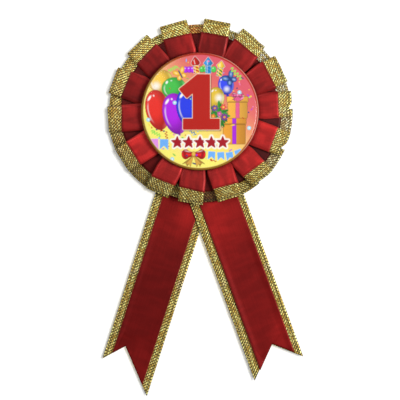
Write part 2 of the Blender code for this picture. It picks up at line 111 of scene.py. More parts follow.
# ---------------------------------------------------------------- materials
class Shader:
    """A material with a Principled BSDF, and short ways to add nodes to it."""

    def __init__(self, name, colour=(0.5, 0.5, 0.5), roughness=0.5, **sockets):
        self.material = bpy.data.materials.new(name)
        self.material.use_nodes = True
        self.tree = self.material.node_tree
        self.bsdf = self.tree.nodes["Principled BSDF"]
        self.put(self.bsdf, "Base Color", (*colour, 1))
        self.put(self.bsdf, "Roughness", roughness)
        for key, value in sockets.items():
            self.put(self.bsdf, key.replace("_", " "), value)

    def put(self, node, socket, value):
        target = node.inputs[socket]
        if isinstance(value, bpy.types.NodeSocket):
            self.tree.links.new(value, target)
        else:
            target.default_value = value

    def node(self, kind, output=0, settings=None, **inputs):
        made = self.tree.nodes.new("ShaderNode" + kind)
        for key, value in (settings or {}).items():
            setattr(made, key, value)
        for key, value in inputs.items():
            self.put(made, key.replace("_", " "), value)
        return made.outputs[output]

    def math(self, operation, *values):
        made = self.tree.nodes.new("ShaderNodeMath")
        made.operation = operation
        for k, value in enumerate(values):
            self.put(made, k, value)
        return made.outputs[0]

    def times(self, a, b):
        return self.math("MULTIPLY", a, b)

    def plus(self, a, b):
        return self.math("ADD", a, b)

    def steps(self, x, low, high):
        made = self.tree.nodes.new("ShaderNodeMapRange")
        made.interpolation_type = "SMOOTHSTEP"
        for socket, value in (("Value", x), ("From Min", low), ("From Max", high)):
            self.put(made, socket, value)
        return made.outputs[0]

    def mix(self, factor, a, b, blend="MIX"):
        made = self.tree.nodes.new("ShaderNodeMix")
        made.data_type, made.blend_type = "RGBA", blend
        self.put(made, 0, factor)
        for k, value in ((6, a), (7, b)):
            self.put(made, k, (*value, 1) if isinstance(value, tuple) and len(value) == 3 else value)
        return made.outputs[2]

    def noise(self, vector, scale, detail=2.0, rough=0.5):
        return self.node("TexNoise", Vector=vector, Scale=scale, Detail=detail, Roughness=rough)

    def bump(self, height, strength, distance):
        made = self.tree.nodes.new("ShaderNodeBump")
        for socket, value in (("Height", height), ("Strength", strength), ("Distance", distance)):
            self.put(made, socket, value)
        self.put(self.bsdf, "Normal", made.outputs[0])

    def cloth_uv(self):
        """The ribbon's own coordinates in millimetres: along it, and across it from its inner edge."""
        uv = self.node("UVMap", settings={"uv_map": "cloth"})
        split = self.tree.nodes.new("ShaderNodeSeparateXYZ")
        self.tree.links.new(uv, split.inputs[0])
        return uv, split.outputs[0], split.outputs[1]


def satin_material(name, colour, width_mm, sheen_bands, spec):
    """Red satin: fine cross ribs, faint streaks and a beaded selvedge, with painted light: soft painted bands
    of sheen, painted light and shade at each point, and painted highlights along the folds.
    """
    s = Shader(name, roughness=0.36, Metallic=0.3, Specular_IOR_Level=spec, Sheen_Weight=0.03,
               Sheen_Roughness=0.4, Anisotropic=0.5)
    uv, along, across = s.cloth_uv()
    s.put(s.bsdf, "Sheen Tint", (1.0, 0.3, 0.25, 1))
    dark, bright = tuple(0.92 * c for c in colour), tuple(1.08 * c for c in colour)
    stretched = s.node("VectorMath", settings={"operation": "MULTIPLY"}, Vector=uv)
    stretched.node.inputs[1].default_value = (0.06, 2.2, 1)
    streaks = s.noise(stretched, 1.4, 3.0, 0.55)
    shade = s.mix(s.steps(streaks, 0.3, 0.7), dark, bright)
    edge = s.math("MINIMUM", across, s.math("SUBTRACT", width_mm, across))
    bead = s.math("SINE", s.times(along, 2 * math.pi / 0.62))
    rim = s.steps(edge, 0.5, 0.2)
    beads = s.times(rim, s.steps(bead, -0.2, 0.8))
    shade = s.mix(s.times(beads, 0.4), shade, (0.75, 0.20, 0.10))
    groove = s.times(s.steps(edge, 0.35, 0.6), s.steps(edge, 0.95, 0.7))
    shade = s.mix(s.times(groove, 0.3), shade, tuple(0.35 * c for c in colour))
    # Painted light and shade on each point, scaled by soft painted bands of sheen.
    painted_light_and_shade = s.node("Attribute", output=2, settings={"attribute_name": "painted_light_and_shade"})
    slope = s.node("VectorMath", settings={"operation": "MULTIPLY"}, Vector=uv)
    slope.node.inputs[1].default_value = (0.30, 0.11, 1)
    band = s.steps(s.noise(slope, 1.0, 2.0, 0.4), 0.36, 0.66)
    painted_light_and_shade = s.times(painted_light_and_shade, s.plus(1 - 0.5 * sheen_bands, s.times(band, sheen_bands)))
    shade = s.mix(1.0, shade, painted_light_and_shade, "MULTIPLY")
    # Painted highlight: pale red along the top edge of each fold.
    painted_fold_highlight = s.node("Attribute", output=2, settings={"attribute_name": "painted_fold_highlight"})
    s.put(s.bsdf, "Base Color", s.mix(s.times(painted_fold_highlight, 0.6), shade, (0.62, 0.055, 0.05)))
    ribs = s.math("SINE", s.times(along, 2 * math.pi / 0.3))
    slant = s.plus(across, s.times(along, 0.5))
    twill = s.math("SINE", s.times(slant, 2 * math.pi / 0.24))
    relief = s.plus(s.times(ribs, 0.22), s.times(twill, 0.16))
    relief = s.plus(relief, s.times(streaks, 0.5))
    relief = s.plus(relief, s.times(beads, 1.6))
    s.bump(relief, 0.25, 0.05 * MM)
    s.put(s.bsdf, "Roughness", s.plus(0.32, s.times(streaks, 0.12)))
    return s.material


LUREX_DASH, LUREX_ROW = 1.5, 0.8  # length and spacing of the foil floats, in mm


def lurex_material(name, width_mm):
    """Gold lurex: foil floats in a brick pattern over dark gaps, with a stitched cord near each selvedge,
    painted light and shade at each point, a pale painted highlight in some valleys and a painted red
    reflection of the satin.
    """
    s = Shader(name, roughness=0.4, Metallic=0.35, Specular_IOR_Level=0.35)
    uv, along, across = s.cloth_uv()
    wobble = s.times(s.math("SUBTRACT", s.noise(uv, 0.7, 2.0), 0.5), 0.5)
    level = s.plus(s.math("DIVIDE", across, LUREX_ROW), wobble)
    row = s.math("FLOOR", level)
    shift = s.times(s.math("MODULO", s.plus(row, 1000.0), 2.0), 0.5)
    drift = s.times(s.noise(uv, 1.3, 1.0), 0.5)
    place = s.plus(s.plus(s.math("DIVIDE", along, LUREX_DASH), shift), drift)
    cell = s.tree.nodes.new("ShaderNodeCombineXYZ")
    s.put(cell, 0, s.math("FLOOR", place))
    s.put(cell, 1, row)
    spark = s.node("TexWhiteNoise", settings={"noise_dimensions": "3D"}, Vector=cell.outputs[0])
    fa = s.math("SUBTRACT", s.math("FRACT", place), 0.5)
    fb = s.math("SUBTRACT", s.math("FRACT", level), 0.5)
    lean = s.plus(fa, s.times(fb, 0.3))
    reach = s.math("SQRT", s.plus(s.math("POWER", s.times(lean, 1.05), 2.0),
                                  s.math("POWER", s.times(fb, 0.95), 2.0)))
    foil = s.steps(reach, 0.47, 0.27)
    patch = s.noise(uv, 0.13, 3.0, 0.6)
    thread = s.mix(s.steps(spark, 0.05, 0.95), (0.50, 0.325, 0.042), (1.0, 0.855, 0.27))
    thread = s.mix(s.times(s.steps(patch, 0.56, 0.7), 0.7), thread, (0.72, 0.60, 0.33))
    # Painted highlight: pale cream-coloured threads in the valleys on the ring's right side.
    painted_pale_highlight = s.node("Attribute", output=2, settings={"attribute_name": "painted_pale_highlight"})
    pale = s.mix(s.steps(spark, 0.2, 0.9), (0.34, 0.27, 0.16), (0.95, 0.88, 0.62))
    thread = s.mix(s.times(painted_pale_highlight, 0.7), thread, pale)
    glitter = s.plus(0.72, s.times(s.steps(s.noise(uv, 1.1, 1.0), 0.3, 0.7), 0.56))
    thread = s.mix(1.0, thread, glitter, "MULTIPLY")
    gap = s.mix(s.steps(spark, 0.3, 0.7), (0.10, 0.052, 0.007), (0.015, 0.008, 0.002))
    facing = s.tree.nodes.new("ShaderNodeSeparateXYZ")
    s.tree.links.new(s.node("NewGeometry", output="Normal"), facing.inputs[0])
    # Painted reflection: a red tint from the satin on the gold's front, deepest in some valleys.
    painted_red_reflection = s.node("Attribute", output=2, settings={"attribute_name": "painted_red_reflection"})
    painted_red_reflection = s.times(painted_red_reflection, s.steps(facing.outputs[1], 0.2, -0.3))  # only on the ribbon's front
    thread = s.mix(painted_red_reflection, thread, (1.0, 0.62, 0.5), "MULTIPLY")
    gap = s.mix(painted_red_reflection, gap, (0.11, 0.012, 0.008))
    colour = s.mix(foil, gap, thread)
    edge = s.math("MINIMUM", across, s.math("SUBTRACT", width_mm, across))
    cord = s.times(s.steps(edge, 0.75, 1.0), s.steps(edge, 1.5, 1.25))
    stitch = s.steps(s.math("SINE", s.times(s.plus(along, drift), 2 * math.pi / 1.35)), -0.2, 0.5)
    colour = s.mix(s.times(cord, 0.85), colour,
                   s.mix(stitch, (0.012, 0.009, 0.003), (0.42, 0.33, 0.08)))
    # Painted light and shade on each point, capped at white.
    painted_light_and_shade = s.node("Attribute", output=2, settings={"attribute_name": "painted_light_and_shade"})
    colour_with_painted_light = s.mix(1.0, colour, painted_light_and_shade, "MULTIPLY")
    limit = s.node("VectorMath", settings={"operation": "MINIMUM"}, Vector=colour_with_painted_light)
    limit.node.inputs[1].default_value = (1, 1, 1)
    s.put(s.bsdf, "Base Color", limit)
    height = s.plus(s.times(foil, s.plus(0.5, s.times(spark, 0.5))), s.times(cord, stitch))
    s.bump(height, 0.8, 0.14 * MM)
    s.put(s.bsdf, "Roughness", s.math("SUBTRACT", 0.6, s.times(foil, 0.3)))
    return s.material


# ---------------------------------------------------------------- meshes
def grid_object(name, points, uv, wrap=False, materials=(), marks=None):
    """A sheet from points[row, column], with its own coordinates uv in metres.

    wrap joins the last column to the first. marks are numbers for each point, by name, that the
    materials read.
    """
    rows, columns = points.shape[:2]
    index = np.arange(rows * columns).reshape(rows, columns)
    last = columns if wrap else columns - 1
    a = index[:-1, :last]
    b = np.roll(index, -1, 1)[:-1, :last]
    c = np.roll(index, -1, 1)[1:, :last]
    d = index[1:, :last]
    faces = np.stack([a, b, c, d], -1).reshape(-1, 4)
    mesh = bpy.data.meshes.new(name)
    mesh.from_pydata(points.reshape(-1, 3).tolist(), [], faces.tolist())
    layer = mesh.uv_layers.new(name="cloth")
    step = uv[:, 1:2, 0] - uv[:, :1, 0]
    after = np.concatenate([uv[:, 1:], uv[:, -1:] + np.stack([step, 0 * step], -1)], 1)
    corners = np.stack([uv[:-1, :last], after[:-1, :last], after[1:, :last], uv[1:, :last]], 2) * 1000
    layer.data.foreach_set("uv", corners.reshape(-1).astype(np.float32))
    for mark, values in (marks or {}).items():
        layer = mesh.attributes.new(mark, "FLOAT", "POINT")
        layer.data.foreach_set("value", values.reshape(-1).astype(np.float32))
    for material in materials:
        mesh.materials.append(material)
    mesh.shade_smooth()
    obj = bpy.data.objects.new(name, mesh)
    bpy.context.scene.collection.objects.link(obj)
    return obj


def thicken(obj, thickness, offset=0.0):
    modifier = obj.modifiers.new("thickness", "SOLIDIFY")
    modifier.thickness, modifier.offset = thickness, offset
    modifier.use_even_offset = False


# ---------------------------------------------------------------- the rosette
def fold_path(half, under, floor, middle, top, left_gap, right_gap):
    """One pleat's section as (sideways, height, how sharply it folds), from valley middle to valley middle.

    The ribbon runs along the floor, under the panel, back out at middle height, over the panel and
    down again.
    """
    low, high = (middle - floor) / 2, (top - middle) / 2

    def turn(cx, cy, radius, start, end, bulge):
        angles = np.radians(np.linspace(start, end, FOLD_POINTS))
        return np.stack([cx + bulge * radius * np.cos(angles), cy + radius * np.sin(angles)], -1)

    inner = half - under
    left = [
        np.array([[-half - left_gap, floor]]), np.array([[-half, floor]]),
        turn(-inner - low, floor + low, low, -90, 90, 1.0),
        turn(-half + high * 0.9, middle + high, high, 270, 90, 0.9),
    ]
    side = np.concatenate(left)
    right = side[::-1] * [-1, 1]
    right[-1, 0] = half + right_gap
    path = np.concatenate([side, right])
    steps = np.r_[0, np.cumsum(np.linalg.norm(np.diff(path, axis=0), axis=1))]
    return path, steps


def near(heading, degrees, wide):
    """1 in one direction of the ring, falling softly to 0 at wide degrees from it."""
    return smooth(np.cos(heading - math.radians(degrees)), math.cos(math.radians(wide)), 1.0)


def pleated_ribbon(name, reach, valleys, width, layer, rows, material, thickness, panel_painted_light, valley_painted_light,
                   skew_share, drop_share):
    """A ribbon folded into box pleats round the ring, at layer in front of the pleats' own path.

    valleys holds the reach of each valley. The first of the two light functions gives the painted light of a
    panel from its direction and its own brightness, the second the painted light and shade of a valley from
    its direction.
    skew_share and drop_share say how much of the pleats' skew and drop it takes.
    """
    per_pleat = 56
    count = len(PLEAT_ANGLES)
    inner, columns = PLEAT_INNER, per_pleat * count
    points = np.zeros((rows, columns, 3))
    painted_fold_highlight, painted_light_and_shade, valley, length = (np.zeros((rows, columns)) for _ in range(4))
    for row in range(rows):
        share = row / (rows - 1)
        run = 0.0
        for i, degrees in enumerate(PLEAT_ANGLES):
            wide, lean, lift, left_painted_light, right_painted_light, left_fold_highlight, right_fold_highlight, skew, drop = PLEAT_SHAPES[i]
            span = slice(i * per_pleat, (i + 1) * per_pleat)
            a = math.radians(degrees)
            out, around = np.array([math.sin(a), 0, math.cos(a)]), np.array([math.cos(a), 0, -math.sin(a)])
            gaps, halves = [], []
            rho = inner + share * (reach - inner)
            for side in (-1, 1):
                step = side * (PLEAT_ANGLES[(i + side) % count] - degrees) % 360
                room = rho * math.tan(math.radians(step) / 2)
                halves.append(min(PLEAT_HALF_WIDTH * wide, room - 0.05 * MM))
                gaps.append(room)
            half = min(halves)
            ring = (rho - inner) / (LUREX_REACH - inner)
            floor = 5.85 * MM - 0.9 * MM * smooth(ring, 0.3, 1.0)
            loft = (1.5 + 1.9 * smooth(ring, -0.1, 0.8)) * MM
            middle, top = floor + 0.42 * loft, floor + loft
            under = min(PLEAT_UNDERFOLD, half - 0.6 * MM)
            path, steps = fold_path(half, under, floor, middle, top, gaps[0] - half, gaps[1] - half)
            at = np.linspace(0, steps[-1], per_pleat, endpoint=False)
            x, h = np.interp(at, steps, path[:, 0]), np.interp(at, steps, path[:, 1])
            nudge = 0.02 * MM
            dx = np.interp(at + nudge, steps, path[:, 0]) - np.interp(at - nudge, steps, path[:, 0])
            dh = np.interp(at + nudge, steps, path[:, 1]) - np.interp(at - nudge, steps, path[:, 1])
            norm = np.maximum(np.hypot(dx, dh), 1e-9)
            x, h = x - layer * dh / norm, h + layer * dx / norm
            high = smooth((h - floor) / loft, 0.2, 0.9)
            h = h + high * (lean * x / half * 0.6 + lift * ring) * MM * smooth(ring, 0.1, 0.9)
            heading = a + np.arctan2(x, rho)
            shallow = np.where(x > 0, valleys[i], valleys[i - 1]) * MM
            ends = shallow + (reach - shallow) * high
            slant = math.tan(math.radians(skew_share * skew))
            distance = inner + share * (ends - inner) + high * ring * x * slant
            distance -= drop_share * drop * MM * high * ring * smooth(x / half, -0.2, 0.5)
            turn = np.arctan2(x, rho)
            straight = distance[:, None] * out + x[:, None] * around
            curved = distance[:, None] * (np.cos(turn)[:, None] * out + np.sin(turn)[:, None] * around)
            plan = curved + (straight - curved) * high[:, None]
            points[row, span] = plan - h[:, None] * np.array([0, 1, 0])
            # Painted light and shade: the panel's listed brightness on its top, blending into the darker
            # painted shade of the valley floor.
            own = left_painted_light + (right_painted_light - left_painted_light) * smooth(x / half, -0.9, 0.9)
            valley_floor_painted_light = valley_painted_light(heading)
            painted_light_and_shade[row, span] = valley_floor_painted_light + (panel_painted_light(heading, own) - valley_floor_painted_light) * high
            valley[row, span] = (1 - high) * smooth(np.abs(x), half - 1.2 * MM, half)
            # Painted highlight along the top edge of each fold, as strong as listed for that fold.
            fold = np.where(x > 0, right_fold_highlight, left_fold_highlight)
            painted_fold_highlight[row, span] = (fold * smooth(np.abs(x), half - 0.8 * MM, half - 0.3 * MM)
                                 * smooth(h, top - 1.0 * MM, top - 0.4 * MM))
            length[row, span] = run + at
            run += steps[-1]
    outer_length = length[-1]
    across = np.linspace(0, width, rows)
    uv = np.stack([np.repeat(outer_length[None], rows, 0), np.repeat(across[:, None], columns, 1)], -1)
    heading = np.arctan2(points[..., 0], points[..., 2])
    # Painted reflection of the red satin on the gold: in the valleys near the top and the bottom, and faintly
    # over the left of the ring.
    painted_red_reflection = valley * (near(heading, -3, 13) + 1.3 * near(heading, 174, 17)) + 0.16 * near(heading, 275, 75)
    # Painted highlight: pale cream-coloured gold in the valleys on the ring's right side, and faintly on its
    # panels there.
    painted_pale_highlight = (0.1 + 0.9 * valley) * smooth(np.cos(heading - math.radians(75)), 0.35, 0.8)
    obj = grid_object(name, points, uv, wrap=True, materials=[material],
                      marks={"painted_fold_highlight": painted_fold_highlight, "painted_light_and_shade": painted_light_and_shade, "painted_red_reflection": painted_red_reflection, "painted_pale_highlight": painted_pale_highlight})
    thicken(obj, thickness)
    return obj, float(outer_length[-1])


def lurex_painted_light(heading):
    """Painted light and shade on the gold: paler at the top of the ring and a little on its right, darker at
    its lower left.
    """
    paler = 0.26 * np.cos(heading - math.radians(5)) + 0.1 * near(heading, 85, 60)
    return 1.07 + paler - 0.22 * near(heading, 232, 40)


# Painted light on a gold panel: the ring's painted light, scaled by the panel's own listed brightness.
def lurex_panel_painted_light(heading, own):
    return lurex_painted_light(heading) * (0.8 + 0.25 * own)


# Painted light and shade in a gold valley: much darker near the bottom, paler at the upper right.
def lurex_valley_painted_light(heading):
    return lurex_painted_light(heading) * (0.98 - 0.64 * near(heading, 174, 17) + 0.5 * near(heading, 42, 45))


# Painted light on a satin panel: its own listed brightness.
def satin_panel_painted_light(heading, own):
    return own


# Painted shade in the satin's valleys: dark, a little lighter at the upper right and darker at the lower
# right.
def satin_valley_painted_shade(heading):
    return 0.25 + 0.16 * near(heading, 45, 55) - 0.13 * near(heading, 125, 55)


def make_rosette():
    red = satin_material("red_satin", (0.37, 0.0145, 0.0135), SATIN_WIDTH / MM, 0.42, 0.12)
    gold = lurex_material("gold_lurex", LUREX_WIDTH / MM)
    ring, length = pleated_ribbon(
        "lurex_pleats_cloth", LUREX_REACH, [lurex for lurex, _ in VALLEY_REACHES], LUREX_WIDTH, -LAYER_STEP,
        LUREX_ROWS, gold, 0.16 * MM, lurex_panel_painted_light, lurex_valley_painted_light, 0.4, 1)
    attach(ring, "rosette")
    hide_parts("lurex_pleats")
    ring, length = pleated_ribbon(
        "satin_pleats_cloth", SATIN_REACH, [satin for _, satin in VALLEY_REACHES], SATIN_WIDTH, LAYER_STEP,
        SATIN_ROWS, red, 0.14 * MM, satin_panel_painted_light, satin_valley_painted_shade, 1.3, 0)
    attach(ring, "rosette")
    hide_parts("satin_pleats")


# ---------------------------------------------------------------- the tails
def tail_matrix(tilt, height):
    """Places a tail's flat plane: local -Y runs down the tail from the crossing, local +Z faces front."""
    turn = Matrix.Rotation(math.radians(90), 4, "X") @ Matrix.Rotation(math.radians(tilt), 4, "Z")
    return Matrix.Translation(TAIL_CROSSING + Vector((0, -height, 0))) @ turn


def tail_strip(name, side, half, height, tips, lift, columns, rows, material, thickness, waves, painted_light_and_shade, aside):
    tilt = TAILS[side][0]
    left_tip, notch, notch_x, right_tip = tips
    full = LUREX_WIDTH / 2
    across = np.unique(np.r_[np.linspace(-half, half, columns), notch_x])
    reach = np.where(across > notch_x,
                     notch + (right_tip - notch) * (across - notch_x) / (full - notch_x),
                     notch + (left_tip - notch) * (across - notch_x) / (-full - notch_x))
    share = np.linspace(0, 1, rows)[:, None]
    down = TAIL_TOP + share * (reach[None] - TAIL_TOP)
    x = np.repeat(across[None], rows, 0)
    free = smooth(down, 38 * MM, 75 * MM)
    rise = lift(x, down) + free * waves(x, down)
    local = np.stack([x + aside, -down, rise, np.ones_like(x)], -1)
    world = local @ np.array(tail_matrix(tilt, height)).T
    uv = np.stack([down, x + half], -1)
    none = np.zeros_like(x)
    obj = grid_object(name, world[..., :3], uv, materials=[material],
                      marks={"painted_fold_highlight": none, "painted_light_and_shade": painted_light_and_shade(x, down), "painted_red_reflection": none, "painted_pale_highlight": none})
    thicken(obj, thickness)
    area = float(np.trapz(reach - TAIL_TOP, across))
    return obj, area, float(reach.max() - TAIL_TOP)


def make_tails():
    satin = satin_material("tail_satin", (0.345, 0.0125, 0.0115), SATIN_WIDTH / MM, 0.18, 0.06)
    lurex = lurex_material("tail_lurex", LUREX_WIDTH / MM)
    for side, (tilt, layer, *tips) in TAILS.items():
        phase = 0.0 if side == "left" else 1.7

        def waves(x, down):
            along = down / (26 * MM) + phase
            return 0.5 * MM * np.sin(along) + 0.16 * MM * np.sin(2.3 * along + 110 * x)

        def flat(x, down):
            return 0 * x

        def even(x, down):
            return 1.06 + 0 * x

        def lifted(x, down):
            return 0.25 * MM * smooth(np.abs(x), 6 * MM, 9 * MM) * smooth(down, 30 * MM, 60 * MM)

        # Painted light and shade down each satin tail: darker further down and lighter again near its end,
        # with soft painted highlights.
        def painted_light_and_shade(x, down):
            slant = down + 0.7 * x
            fade = smooth(slant, 28 * MM, 62 * MM)
            back = smooth(slant, 84 * MM, 112 * MM)
            if side == "left":
                glow = np.exp(-(((x - 5 * MM) / (5 * MM))**2 + ((down - 32 * MM) / (9 * MM))**2))
                return 0.55 - 0.19 * fade + 0.11 * back + 0.28 * glow
            glow = np.exp(-(((x + 4 * MM) / (5 * MM))**2 + ((down - 34 * MM) / (14 * MM))**2))
            painted_spot_highlight = np.exp(-(((x - 6 * MM) / (4 * MM))**2 + ((down - 94 * MM) / (7 * MM))**2))
            return 0.68 - 0.22 * fade + 0.06 * back + 0.18 * glow + 0.2 * painted_spot_highlight

        base = (1.5 + 0.6 * layer + 0.15) * MM
        nudge = 0.3 * MM if side == "left" else 0.75 * MM
        for cloth, width, height, lift, material, columns, light, aside in (
                ("lurex", LUREX_WIDTH, base, flat, lurex, 41, even, 0.25 * MM),
                ("satin", SATIN_WIDTH, base + 0.6 * MM, lifted, satin, 31, painted_light_and_shade, nudge)):
            obj, area, length = tail_strip(
                f"{side}_tail_{cloth}_ribbon", side, width / 2, height, tips, lift, columns, TAIL_ROWS,
                material, 0.15 * MM, waves, light, aside)
            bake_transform(obj)
            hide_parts(f"{side}_tail_{cloth}", f"{side}_tail_{cloth}_top")


# ---------------------------------------------------------------- the button's face
def screen(red, green, blue):
    """A colour as seen on a screen, 0 to 255, as the linear light that Blender works in."""
    c = np.array([red, green, blue]) / 255
    return ((c + 0.055) / 1.055) ** 2.4


PAPER_WHITE = screen(252, 250, 245)
PRINT_RED, PRINT_DEEP_RED = screen(190, 32, 22), screen(168, 22, 34)
PRINT_YELLOW, PRINT_GOLD, PRINT_ORANGE = screen(250, 205, 70), screen(225, 160, 50), screen(240, 120, 40)
PRINT_PINK, PRINT_PURPLE = screen(240, 130, 190), screen(175, 40, 225)
PRINT_SKY, PRINT_STEEL, PRINT_GREEN = screen(115, 180, 250), screen(40, 120, 180), screen(75, 195, 80)
PRINT_LEAF, PRINT_NAVY, PRINT_LIME = screen(40, 125, 45), screen(45, 60, 120), screen(150, 230, 90)
PRINT_AQUA = screen(160, 220, 240)
RIM_START = 26.7


class Print:
    """The picture on the button's paper, painted shape over shape at given points, in mm from the middle."""

    def __init__(self, x, z):
        self.x, self.z = x, z
        self.colour = np.zeros((*x.shape, 3))

    def paint(self, distance, colour, soft=0.13, strength=1.0):
        """Covers the points whose distance to the shape is negative."""
        cover = strength * smooth(-distance, -soft, soft)
        self.colour += (colour - self.colour) * cover[..., None]

    def turned(self, x, z, tilt=0.0):
        """Places as seen from a shape at x, z that leans anticlockwise by tilt degrees."""
        a = math.radians(tilt)
        dx, dz = self.x - x, self.z - z
        return dx * math.cos(a) + dz * math.sin(a), dz * math.cos(a) - dx * math.sin(a)

    def oval(self, x, z, wide, high, tilt=0.0):
        u, v = self.turned(x, z, tilt)
        return (np.hypot(u / wide, v / high) - 1) * min(wide, high)

    def line(self, points, half):
        nearest = np.full(self.x.shape, np.inf)
        for (ax, az), (bx, bz) in zip(points, points[1:]):
            dx, dz = bx - ax, bz - az
            t = np.clip(((self.x - ax) * dx + (self.z - az) * dz) / (dx * dx + dz * dz), 0, 1)
            nearest = np.minimum(nearest, np.hypot(self.x - ax - t * dx, self.z - az - t * dz))
        return nearest - half

    def shape(self, corners):
        """Signed distance to an outline, negative inside."""
        loop = [*corners, corners[0]]
        inside = np.zeros(self.x.shape, bool)
        for (ax, az), (bx, bz) in zip(loop, loop[1:]):
            if az != bz:
                cut = ax + (self.z - az) * (bx - ax) / (bz - az)
                inside ^= ((az > self.z) != (bz > self.z)) & (self.x < cut)
        edge = self.line(loop, 0)
        return np.where(inside, -edge, edge)

    def box(self, left, right, low, high):
        return self.shape([(left, low), (right, low), (right, high), (left, high)])

    def flower(self, x, z, radius, petals, colour, heart):
        u, v = self.turned(x, z)
        edge = radius * (0.82 + 0.2 * np.cos(petals * np.arctan2(v, u)))
        shade = 1.15 - 0.5 * np.hypot(u, v) / radius
        self.paint(np.hypot(u, v) - edge, colour * shade[..., None])
        self.paint(self.oval(x, z, 0.28 * radius, 0.28 * radius), heart)

    def balloon(self, x, z, wide, high, tilt, colour):
        """A glossy oval with a knot at its lower end, and a light along its left side."""
        u, v = self.turned(x, z, tilt)
        egg = (np.hypot(u / (wide * (1 + 0.06 * v / high)), v / high) - 1) * wide
        tip = np.maximum(np.abs(u) - 0.5 * (-high + 0.5 - v) - 0.15, np.abs(v + high + 0.3) - 0.55)
        self.paint(tip, colour * 0.55)
        self.paint(egg - 0.12, colour * 0.35)
        edge_on = smooth(np.hypot(u / wide + 0.25, v / high - 0.2), 0.35, 1.3)
        self.paint(egg, colour * (1.05 - 0.62 * edge_on)[..., None])
        bounce = smooth(egg, -0.3 * wide, -0.1 * wide) * smooth(u / wide - 0.4 * v / high, 0.35, 0.9)
        self.paint(egg, np.minimum(colour * 2.2 + 0.12, 1), strength=0.5 * bounce)
        lit = smooth(-u / wide, 0.3, 0.75) * smooth(v / high, -0.75, -0.2) * smooth(v / high, 0.55, 0.2)
        self.paint(np.abs(egg + 0.2 * wide) - 0.05 * wide, PAPER_WHITE, 0.3, 0.55 * lit)
        streak = self.glint(x, z, tilt, -0.5 * wide, 0.66 * high, 0.09 * wide, 0.15 * high, -42)
        self.paint(streak, PAPER_WHITE, 0.25)
        dot = self.glint(x, z, tilt, -0.1 * wide, 0.74 * high, 0.07 * wide, 0.05 * high, 0)
        self.paint(dot, PAPER_WHITE, 0.2, 0.8)

    def glint(self, x, z, tilt, along, up, wide, high, lean):
        a = math.radians(tilt)
        across = x + along * math.cos(a) - up * math.sin(a)
        above = z + along * math.sin(a) + up * math.cos(a)
        return self.oval(across, above, wide, high, tilt + lean)

    def glow(self, x, z, radius, colour, strength=0.9):
        u, v = self.turned(x, z)
        cover = strength * (1 - smooth(np.hypot(u, v), 0, radius))
        self.colour += (colour - self.colour) * cover[..., None]

    def butterfly(self, x, z, size, tilt, colour, edge):
        for side in (-1, 1):
            for up, out, reach in ((0.5, 0.55, 0.62), (-0.42, 0.42, 0.45)):
                a = math.radians(tilt)
                wx, wz = side * out * size, up * size
                px, pz = x + wx * math.cos(a) - wz * math.sin(a), z + wx * math.sin(a) + wz * math.cos(a)
                lean = tilt - side * up * 80
                self.paint(self.oval(px, pz, 0.4 * size, reach * size, lean), edge)
                self.paint(self.oval(px, pz, 0.27 * size, (reach - 0.14) * size, lean), colour)
                self.paint(self.oval(px, pz, 0.1 * size, 0.22 * size, lean), PAPER_WHITE, strength=0.35)
        a = math.radians(tilt + 90)
        dx, dz = 0.6 * size * math.cos(a), 0.6 * size * math.sin(a)
        self.paint(self.line([(x - dx, z - dz), (x + dx, z + dz)], 0.09 * size), PRINT_NAVY)

    def pennant(self, x, z, wide, drop, tilt, colour):
        a = math.radians(tilt)
        outline = [(-wide / 2, 0), (wide / 2, 0), (wide / 2, -drop), (0, -0.62 * drop), (-wide / 2, -drop)]
        corners = [(x + u * math.cos(a) - v * math.sin(a), z + u * math.sin(a) + v * math.cos(a))
                   for u, v in outline]
        self.paint(self.shape(corners) - 0.12, PAPER_WHITE, strength=0.6)
        self.paint(self.shape(corners), colour)

    def streamer(self, start, end, swing, waves, half, colour):
        """A curly paper ribbon seen from the side."""
        share = np.linspace(0, 1, 10 * waves + 1)
        (ax, az), (bx, bz) = start, end
        span = math.hypot(bx - ax, bz - az)
        sway = swing * np.sin(2 * np.pi * waves * share)
        points = zip(ax + (bx - ax) * share - (bz - az) / span * sway,
                     az + (bz - az) * share + (bx - ax) / span * sway)
        self.paint(self.line(list(points), half), colour)

    def candle(self, x, z, tilt, body, stripe, tip, flame):
        """A striped candle. flame is the outline of its flame, in mm from the middle of the candle's top."""
        u, v = self.turned(x, z, tilt)
        side = np.maximum(np.abs(u) - 1.25, np.abs(v) - 2.1)
        self.paint(side - 0.15, PAPER_WHITE, strength=0.6)
        self.paint(side, body)
        self.paint(np.maximum(side, np.abs(np.mod(v + 0.55 * u, 1.5) - 0.75) - 0.36), stripe)
        self.paint(np.maximum(side, np.abs(u + 0.55) - 0.22), PAPER_WHITE, strength=0.4)
        drop = Print(u, v - 3.4).shape(flame) - 0.25
        self.paint(drop - 0.2, PAPER_WHITE, strength=0.6)
        self.paint(drop, tip * 0.55)
        self.paint(drop + 0.25, tip * (1.05 - 0.25 * u)[..., None])
        streak = np.abs(u + 0.5 + 0.15 * (v - 3.4)) - 0.22
        self.paint(np.maximum(drop + 0.5, streak), PAPER_WHITE, strength=0.55)

